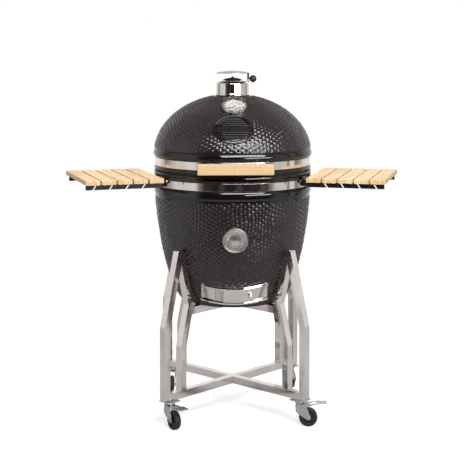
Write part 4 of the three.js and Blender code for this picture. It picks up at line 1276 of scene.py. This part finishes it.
def studio():
    bm = bmesh.new()
    bmesh.ops.create_circle(bm, cap_ends=True, segments=96, radius=FLOOR_R)
    floor = placed("floor", mesh_from(bm, "floor"))
    floor.location = (0, FLOOR_BACK, 0)
    look = Look("floor", (0.86, 0.86, 0.86), 0.9)
    look.set("Emission Color", WHITE)
    look.set("Emission Strength", FLOOR_GLOW)
    plain = look.add("BsdfDiffuse", 0, {"Color": FLOOR_SHADE})
    surface = look.nodes["Material Output"].inputs["Surface"]
    look.feed(surface, camera_only(look, look.shader.outputs[0], plain))
    floor.data.materials.append(look.material)

    world = bpy.data.worlds.new("studio")
    bpy.context.scene.world = world
    world.use_nodes = True
    graph = Graph(world.node_tree)
    graph.nodes.clear()
    room = graph.add("Background", 0, {"Color": room_color(graph), "Strength": 0.9})
    seen = graph.add("Background", 0, {"Color": WHITE})
    surface = graph.nodes.new("ShaderNodeOutputWorld").inputs["Surface"]
    graph.feed(surface, camera_only(graph, seen, room))

    softbox("glint", 14, 32, 3.6, 3.9, 1.15, 200, diffuse=False)
    softbox("low glint", 34, 7, 3.6, 2.4, 0.5, 50, diffuse=False)
    softbox("fill", 14, 34, 3.6, 2.2, 1.4, 155, glossy=False)
    softbox("top", 180, 84, 3.4, 2.2, 2.2, 62, glossy=False)
    bpy.context.scene.view_settings.view_transform = "Standard"


def softbox(name, azimuth, elevation, distance, width, height, power, diffuse=True, glossy=True):
    """A soft light aimed at the grill's middle, placed by its angles off the front."""
    around, up = math.radians(azimuth), math.radians(elevation)
    flat = math.cos(up)
    heading = Vector((math.sin(around) * flat, -math.cos(around) * flat, math.sin(up)))
    lamp = bpy.data.lights.new(name, "AREA")
    lamp.shape = "RECTANGLE"
    lamp.size, lamp.size_y = width, height
    lamp.energy = power
    obj = placed(name, lamp)
    obj.location = Vector((0, 0, AIM_Z)) + heading * distance
    obj.rotation_euler = (-heading).to_track_quat("-Z", "Y").to_euler()
    obj.visible_diffuse = diffuse
    obj.visible_glossy = glossy


CAMERA_LENS = 95.22


def camera():
    """A level view camera, nearly at the height of the cap and slightly left of the front.

    Its lens is shifted down, as the upright legs of a real picture show. The shift is a
    skew of the stand that carries the camera, so that a camera moved off the stand is plain.
    """
    azimuth = math.radians(-2.0)
    distance, height, horizon = 4.858, 1.439, 0.1541
    data = bpy.data.cameras.new("camera")
    # The skewed stand makes the picture smaller by this much.
    data.lens = CAMERA_LENS * math.hypot(1, horizon)
    data.sensor_width = 36
    obj = placed("camera", data)
    obj.rotation_mode = "QUATERNION"
    stand = placed("camera_stand", None)
    obj.parent = stand
    right = Vector((math.cos(azimuth), math.sin(azimuth), 0))
    back = Vector((math.sin(azimuth), -math.cos(azimuth), 0))
    skewed = back + Vector((0, 0, horizon))
    matrix = Matrix((right, Vector((0, 0, 1)), skewed)).transposed().to_4x4()
    matrix.translation = back * distance + Vector((0, 0, height))
    obj.matrix_parent_inverse = matrix
    bpy.context.scene.camera = obj


def flatten_normals():
    """Lets the large faces set the shading, so that eased edges don't bend the reflections."""
    for obj in bpy.context.scene.objects:
        if obj.type != "MESH" or obj.name == "floor" or LOOKS["glaze"].name in obj.data.materials:
            continue
        modifier = obj.modifiers.new("normals", "WEIGHTED_NORMAL")
        modifier.weight = 50
        modifier.keep_sharp = True


# ---- The whole grill ----

ceramic_base()
ceramic_lid()
badge()
ceramic_inside()
cooking_grate()
gaskets()
bands()
hinge_pin()
handle()
thermometer()
chimney()
medallion()
draught()
cart()
casters()
shelves()
flatten_normals()
studio()
camera()
